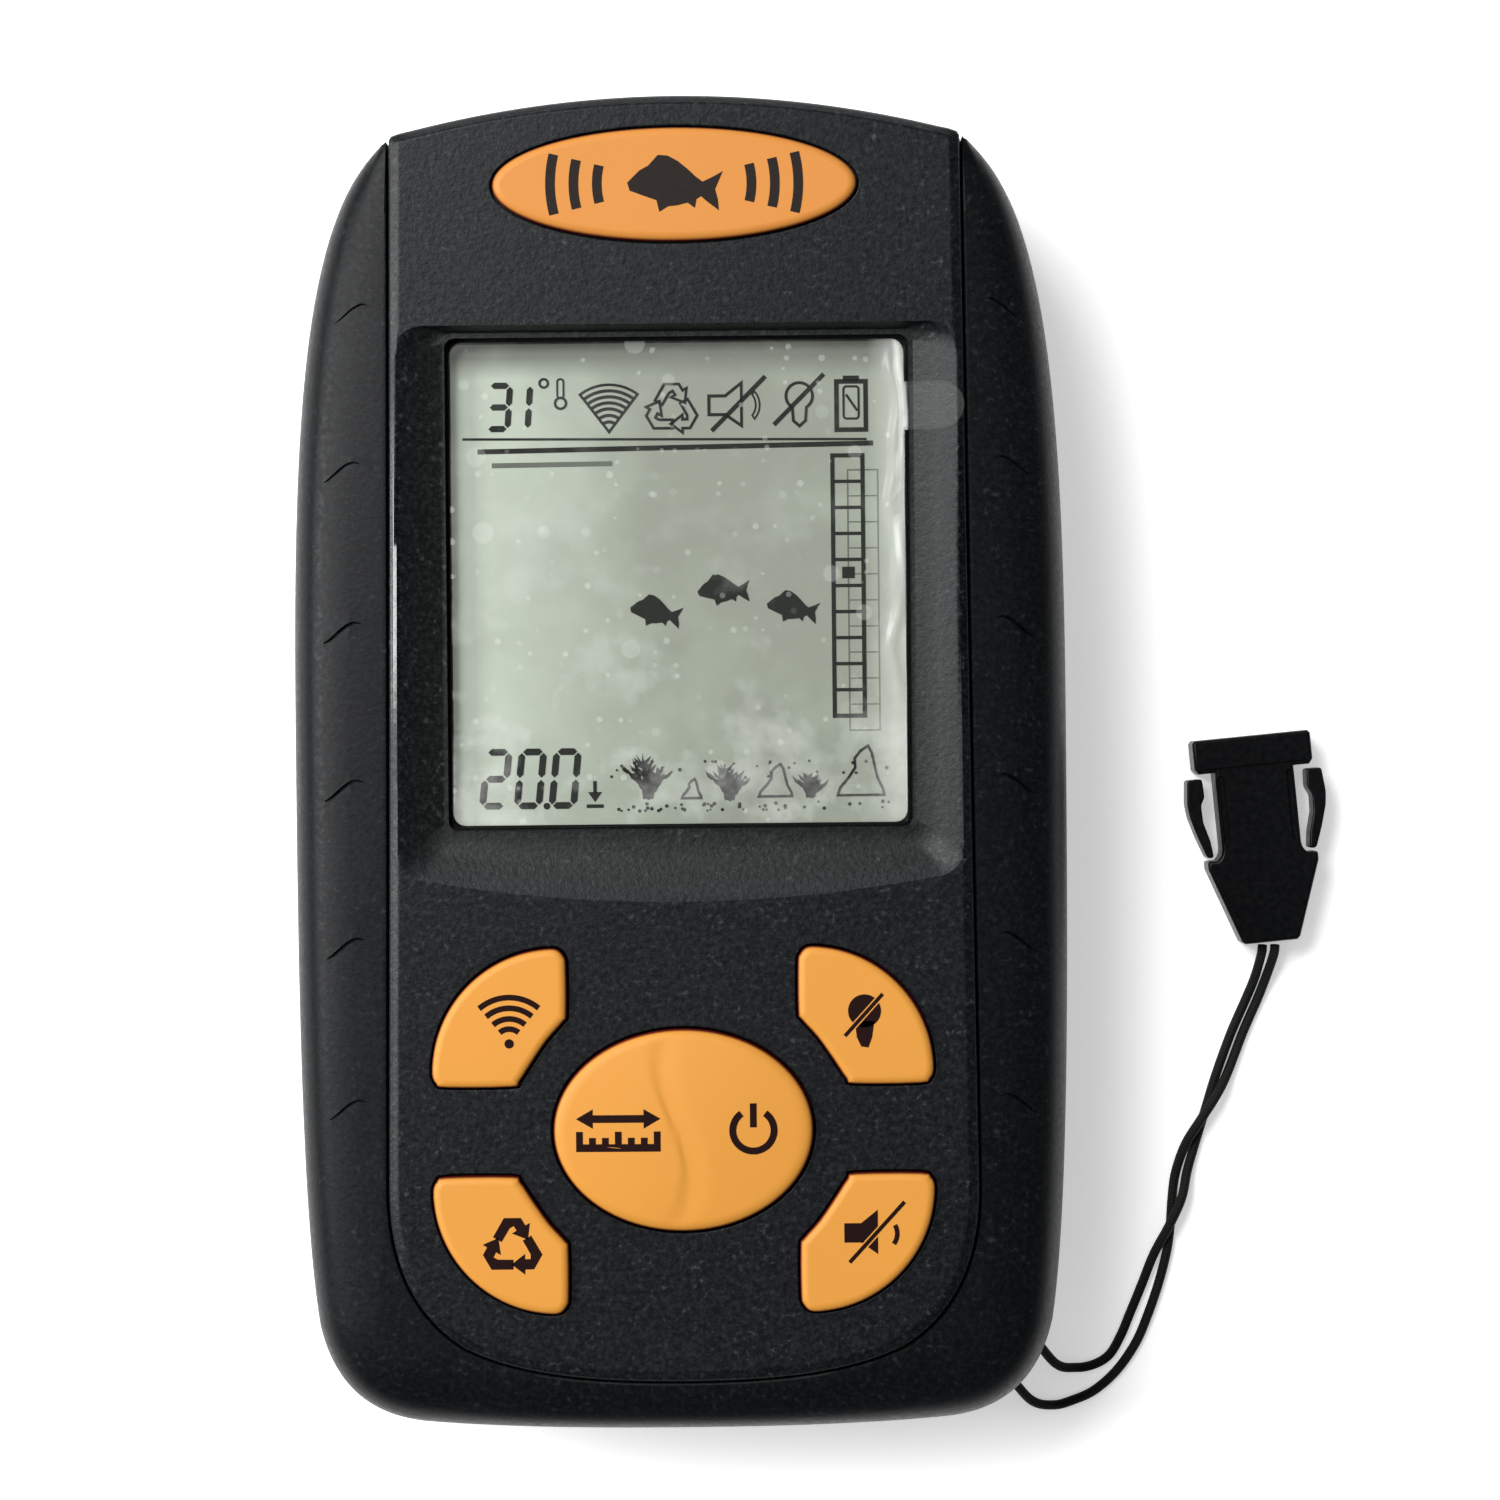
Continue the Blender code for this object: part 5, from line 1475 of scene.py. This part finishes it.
def digit(lit, x, y, size, weight, slant):
    """Seven-segment bars for one digit, with its lower left corner at x, y; lit names the bars a to g."""
    wide, high = size
    half = high / 2
    bars = {
        "a": ((0, high), (wide, high)), "b": ((wide, high), (wide, half)), "c": ((wide, half), (wide, 0)),
        "d": ((0, 0), (wide, 0)), "e": ((0, 0), (0, half)), "f": ((0, half), (0, high)),
        "g": ((0, half), (wide, half)),
    }
    shapes = []
    for name in lit:
        start, end = (Vector(p) for p in bars[name])
        along = (end - start).normalized()
        side = Vector((-along.y, along.x)) * weight / 2
        one, two = start + along * 0.1, end - along * 0.1
        tip = along * weight / 2
        outline = [one, one + tip - side, two - tip - side, two, two - tip + side, one + tip + side]
        shapes.append([[(x + p.x + slant * p.y, y + p.y) for p in outline]])
    return shapes


def weed(x, y, width, height, blades, seed):
    """A clump of water weed: curved blades with side leaves, all from one root."""
    dice = random.Random(seed)
    shapes = []
    for i in range(blades):
        lean = width * (i / (blades - 1) - 0.5)
        tall = height * (1 - 0.35 * abs(2 * i / (blades - 1) - 0.7)) * dice.uniform(0.85, 1.0)
        line = []
        for k in range(10):
            t = k / 9
            line.append((x + lean * t ** 1.4 + 0.2 * math.sin(6 * t + 2 * i), y + tall * t))
        shapes.append(taper(line, 0.6))
        for k in (2, 3, 4, 5, 6, 7):
            side = -1 if (k + i) % 2 == 1 else 1
            end = (line[k][0] + side * 0.78, line[k][1] + 0.72)
            shapes.append(taper([line[k], ((line[k][0] + end[0]) / 2, line[k][1] + 0.2), end], 0.42))
    return shapes


def rock_lines(x, y, wide, high):
    """A stone drawn as an outline with an uneven top."""
    rim = [(0, 0), (1, 0), (0.98, 0.12), (0.86, 0.35), (0.8, 0.6), (0.74, 0.86), (0.66, 1.0), (0.5, 0.9),
           (0.37, 0.75), (0.38, 0.56), (0.24, 0.36), (0.05, 0.15)]
    return [band([(x + wide * u, y + high * v) for u, v in rim], 0.26)]


LADDER = (15.38, 18.37, 4.55, 30.45)     # left, right, low, high


def ladder(weight):
    """The depth scale on the right: a tall frame in ten cells."""
    left, right, low, high = LADDER
    shapes = [band(rectangle(((left + right) / 2, (low + high) / 2), (right - left, high - low)), weight)]
    for i in range(1, 10):
        y = low + (high - low) * i / 10
        shapes.append(stroke([(left + weight / 2, y), (right - weight / 2, y)], weight * 0.8))
    return shapes


def status_row():
    """Temperature, waves, loop, mute, lamp and battery signs along the head of the screen."""
    shapes = digit(DIGITS["3"], -18.9, 33.4, (2.0, 4.3), 0.62, 0.07)
    shapes += digit(DIGITS["1"], -16.9, 33.4, (2.0, 4.3), 0.62, 0.07)
    shapes += [band(circle((-13.25, 37.9), 0.42, 20), 0.24), band(circle((-11.6, 35.9), 0.55, 20), 0.26)]
    shapes += [band(rectangle((-11.6, 37.35), (0.62, 1.9), 0.28), 0.2)]
    shapes += moved(wave_lines(), -6.8, 33.0)
    shapes += moved(three_round(band(bent_arrow(), 0.32), 0.85), -0.55, 35.2)
    shapes += moved(mute_lines(), 5.95, 35.55, 0.98)
    shapes += moved(lamp_lines(), 12.15, 36.4, 0.98)
    shapes += [band(rectangle((17.3, 35.4), (2.9, 4.8)), 0.46), stroke([(16.5, 38.1), (18.1, 38.1)], 0.55)]
    shapes += [band(rectangle((17.3, 35.7), (1.5, 3.2), 0.3), 0.22)]
    shapes += [stroke([(16.8, 36.5), (17.9, 34.9)], 0.24)]
    shapes += [stroke([(-21.4, 32.4), (18.8, 32.05)], 0.24), stroke([(-19.9, 31.14), (19.45, 31.65)], 0.5)]
    return shapes


def water_view():
    """The depth scale, three fish and the figures for depth."""
    left, right, low, high = LADDER
    shapes = ladder(0.42)
    shapes.append([rectangle(((left + right) / 2, low + (high - low) * 0.55), (1.25, 1.15))])
    for x, y, turn in ((-2.3, 15.2, -7), (4.4, 17.3, 6), (11.3, 15.5, -6)):
        shapes += moved([fish()], x, y, 0.98, turn)
    for x, figure in ((-19.75, "2"), (-16.3, "0"), (-12.85, "0")):
        shapes += digit(DIGITS[figure], x, -4.1, (2.15, 5.35), 0.68, 0.1)
    shapes.append([circle((-13.35, -4.15), 0.34, 14)])
    shapes += [stroke([(-9.4, -4.2), (-7.7, -4.2)], 0.36), stroke([(-8.55, -1.7), (-8.55, -2.9)], 0.36)]
    shapes.append([[(-9.25, -2.8), (-8.55, -3.8), (-7.85, -2.8)]])
    return shapes


def sea_bed():
    """Weed, stones and a scatter of dots along the foot of the screen."""
    shapes = weed(-3.3, -3.5, 4.9, 5.1, 8, 3) + rock_lines(0.1, -3.5, 1.9, 1.9)
    shapes += weed(4.8, -3.7, 3.9, 3.9, 8, 5) + rock_lines(7.75, -3.4, 3.3, 3.2)
    shapes += weed(12.9, -3.5, 2.4, 2.7, 6, 8) + rock_lines(15.6, -3.35, 4.6, 4.9)
    dice = random.Random(7)
    for _ in range(74):
        x = dice.uniform(-7.0, 21.3)
        y = dice.uniform(-4.75, -3.95) if dice.random() < 0.55 else dice.uniform(-1.6, 0.2)
        shapes.append([circle((x, y), dice.uniform(0.11, 0.2), 8)])
    return shapes


def make_screen(looks):
    """Liquid crystal cell with its signs and their painted shadows, and over it a dark border and the window.
    """
    centre = (0, WINDOW_CENTRE_Y)
    glass = rectangle(centre, (47.8, 51.4), 0.5)
    levels = [(glass, 20.7), (glass, LCD_TOP - 0.15), (inset(glass, 0.12), LCD_TOP)]
    face = loft("lcd_face", levels, looks["lcd"])
    place(face, "root", "lcd_glass", "lcd_cell")
    # Painted shadows: dark flat plates under the depth scale and the thick rule, offset down and right where
    # their shadows fall on the reflector.
    shades = moved(ladder(0.17), 1.5, -1.45) + [stroke([(-18.5, 29.75), (-6.5, 29.85)], 0.5)]
    marks("screen_shades", shades, LCD_TOP + 0.015, 0.01, looks["painted_shadow"], "root", "lcd_glass")
    picture = status_row() + water_view() + sea_bed()
    marks("screen_marks", picture, LCD_TOP + 0.04, 0.02, looks["segment"], "root", "lcd_glass")
    outer = rectangle(centre, (WINDOW[0] - 0.4, WINDOW[1] - 0.4), 0.9)
    border = prism("window_border", outer, 23.78, 23.86, looks["border"])
    cut(border, prism("border_middle", rectangle(centre, (WINDOW[0] - 1.0, WINDOW[1] - 1.0), 1.1), 23, 25))
    place(border, "root", "black_rubber")
    pane = rectangle(centre, (WINDOW[0] - 0.8, WINDOW[1] - 0.8), 1.3)
    lens = loft("window_pane", [(pane, 23.9), (pane, 24.65)] + rounding(pane, WINDOW_PLANE, 0.25, 3)[1:],
                looks["lens"])
    place(even_shading(lens), "root", "window_clear", "lens_window")


def film_height(x, y):
    """The film lies flat, lifts in wrinkles along its right edge and climbs the slope at its tab."""
    along = max(0.0, min(1.0, (y - 4) / 6)) * max(0.0, min(1.0, (41.5 - y) / 3))
    crest = 21.5 + 0.35 * math.sin(y * 0.42) + 0.2 * math.sin(y * 0.9 + 1)
    wrinkle = 0.34 * along * math.exp(-((x - crest) / 0.55) ** 2)
    fold = 0.16 * along * math.exp(-((x - 19.4 + 0.05 * (y - 20)) / 0.9) ** 2)
    ripple = 0.05 * noise(Vector((x * 0.12, y * 0.12, 3.0)))
    climb = max(0.0, x - 22.9) * 0.34
    return FILM_HEIGHT + wrinkle + fold + ripple + climb


def make_film(looks):
    """Peel-off film over the window, with a round-ended pull tab on the right."""
    half = WINDOW[0] / 2 - 0.5
    low = WINDOW_CENTRE_Y - WINDOW[1] / 2 + 0.5
    high = WINDOW_CENTRE_Y + WINDOW[1] / 2 - 0.5
    corner = 1.3
    columns, rows, tab_columns, tab_length = 150, 90, 24, 5.9
    edges_x = [-half + 2 * half * i / columns for i in range(columns + 1)]
    edges_y = [low + (high - low) * j / rows for j in range(rows + 1)]
    builder = bmesh.new()

    def vertex(x, y):
        out_x = abs(x) - half + corner
        out_y = abs(y - WINDOW_CENTRE_Y) - (high - low) / 2 + corner
        if x <= half and out_x > 0 and out_y > 0:
            share = max(out_x, out_y) / math.hypot(out_x, out_y)
            x -= math.copysign(out_x * (1 - share), x)
            y -= math.copysign(out_y * (1 - share), y - WINDOW_CENTRE_Y)
        return builder.verts.new((x, y, film_height(x, y)))

    grid = [[vertex(x, y) for y in edges_y] for x in edges_x]
    first, last = (min(range(rows + 1), key=lambda j: abs(edges_y[j] - y)) for y in (32.5, 37.6))
    middle = (edges_y[first] + edges_y[last]) / 2
    reach = (edges_y[last] - edges_y[first]) / 2
    tab = []
    for i in range(1, tab_columns + 1):
        x = half + tab_length * i / tab_columns
        round_end = max(0.0, (x - half - tab_length + reach) / reach)
        share = math.sqrt(max(0.0, 1 - min(round_end, 0.995) ** 2))
        tab.append([vertex(x, middle + (y - middle) * share) for y in edges_y[first:last + 1]])
    for strip in (grid, [grid[-1][first:last + 1]] + tab):
        for one, two in zip(strip, strip[1:]):
            for j in range(len(one) - 1):
                builder.faces.new((one[j], two[j], two[j + 1], one[j + 1]))
    film = new_object("peel_film", builder, looks["film"])
    solid = film.modifiers.new("thickness", "SOLIDIFY")
    solid.thickness = 0.12 * MM
    solid.offset = 1.0
    settle(film)
    place(film, "root", "film_clear", "screen_film")


# ---------------------------------------------------------------- inner parts

def dress_inner_parts(looks):
    """CAD parts that keep their own shape, each with its own finish."""
    finishes = {
        "main_pcb": "green", "buzzer": "chip", "mcu_chip": "chip", "crystal_can": "steel",
        "rf_module": "steel", "antenna": "copper", "case_gasket": "rubber", "zebra_strip": "rubber",
        "led_strip": "guide", "lcd_backlight": "guide", "lcd_holder": "holder", "keypad_mat": "silicone",
        "strap_pin": "steel", "wire_red": "red", "wire_black": "black",
    }
    for name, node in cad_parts.items():
        if name.startswith("dome_"):
            finish = "silicone"
        elif name.startswith("aaa_cell"):
            finish = "cell"
        elif name.startswith("contact_") or name.startswith("pcb_screw"):
            finish = "steel"
        else:
            finish = finishes.get(name)
        if finish:
            node.data.materials.clear()
            node.data.materials.append(looks[finish])


def make_floor():
    """A pale plain floor that gives off a little light of its own, so that shadows on it stay faint."""
    builder = bmesh.new()
    builder.faces.new([builder.verts.new((x, y, 0)) for x, y in rectangle((0, 0), (3000, 3000))])
    made = Nodes("pale_floor")
    made.colour((0.93, 0.93, 0.93))
    made.shader.inputs["Emission Color"].default_value = (1, 1, 1, 1)
    made.set(roughness=0.9, specular=0.1, emission=0.42)
    floor = new_object("floor", builder, made.material)


set_camera()
looks = make_materials()
make_strap(looks)
set_light()
make_floor()
make_casing_front(looks)
make_grip(looks)
make_back(looks)
make_door(looks)
make_screws(looks)
make_badge(looks)
make_badge_mark(looks)
make_corner_keys(looks)
make_rocker(looks)
make_legends(looks)
make_screen(looks)
make_film(looks)
dress_inner_parts(looks)
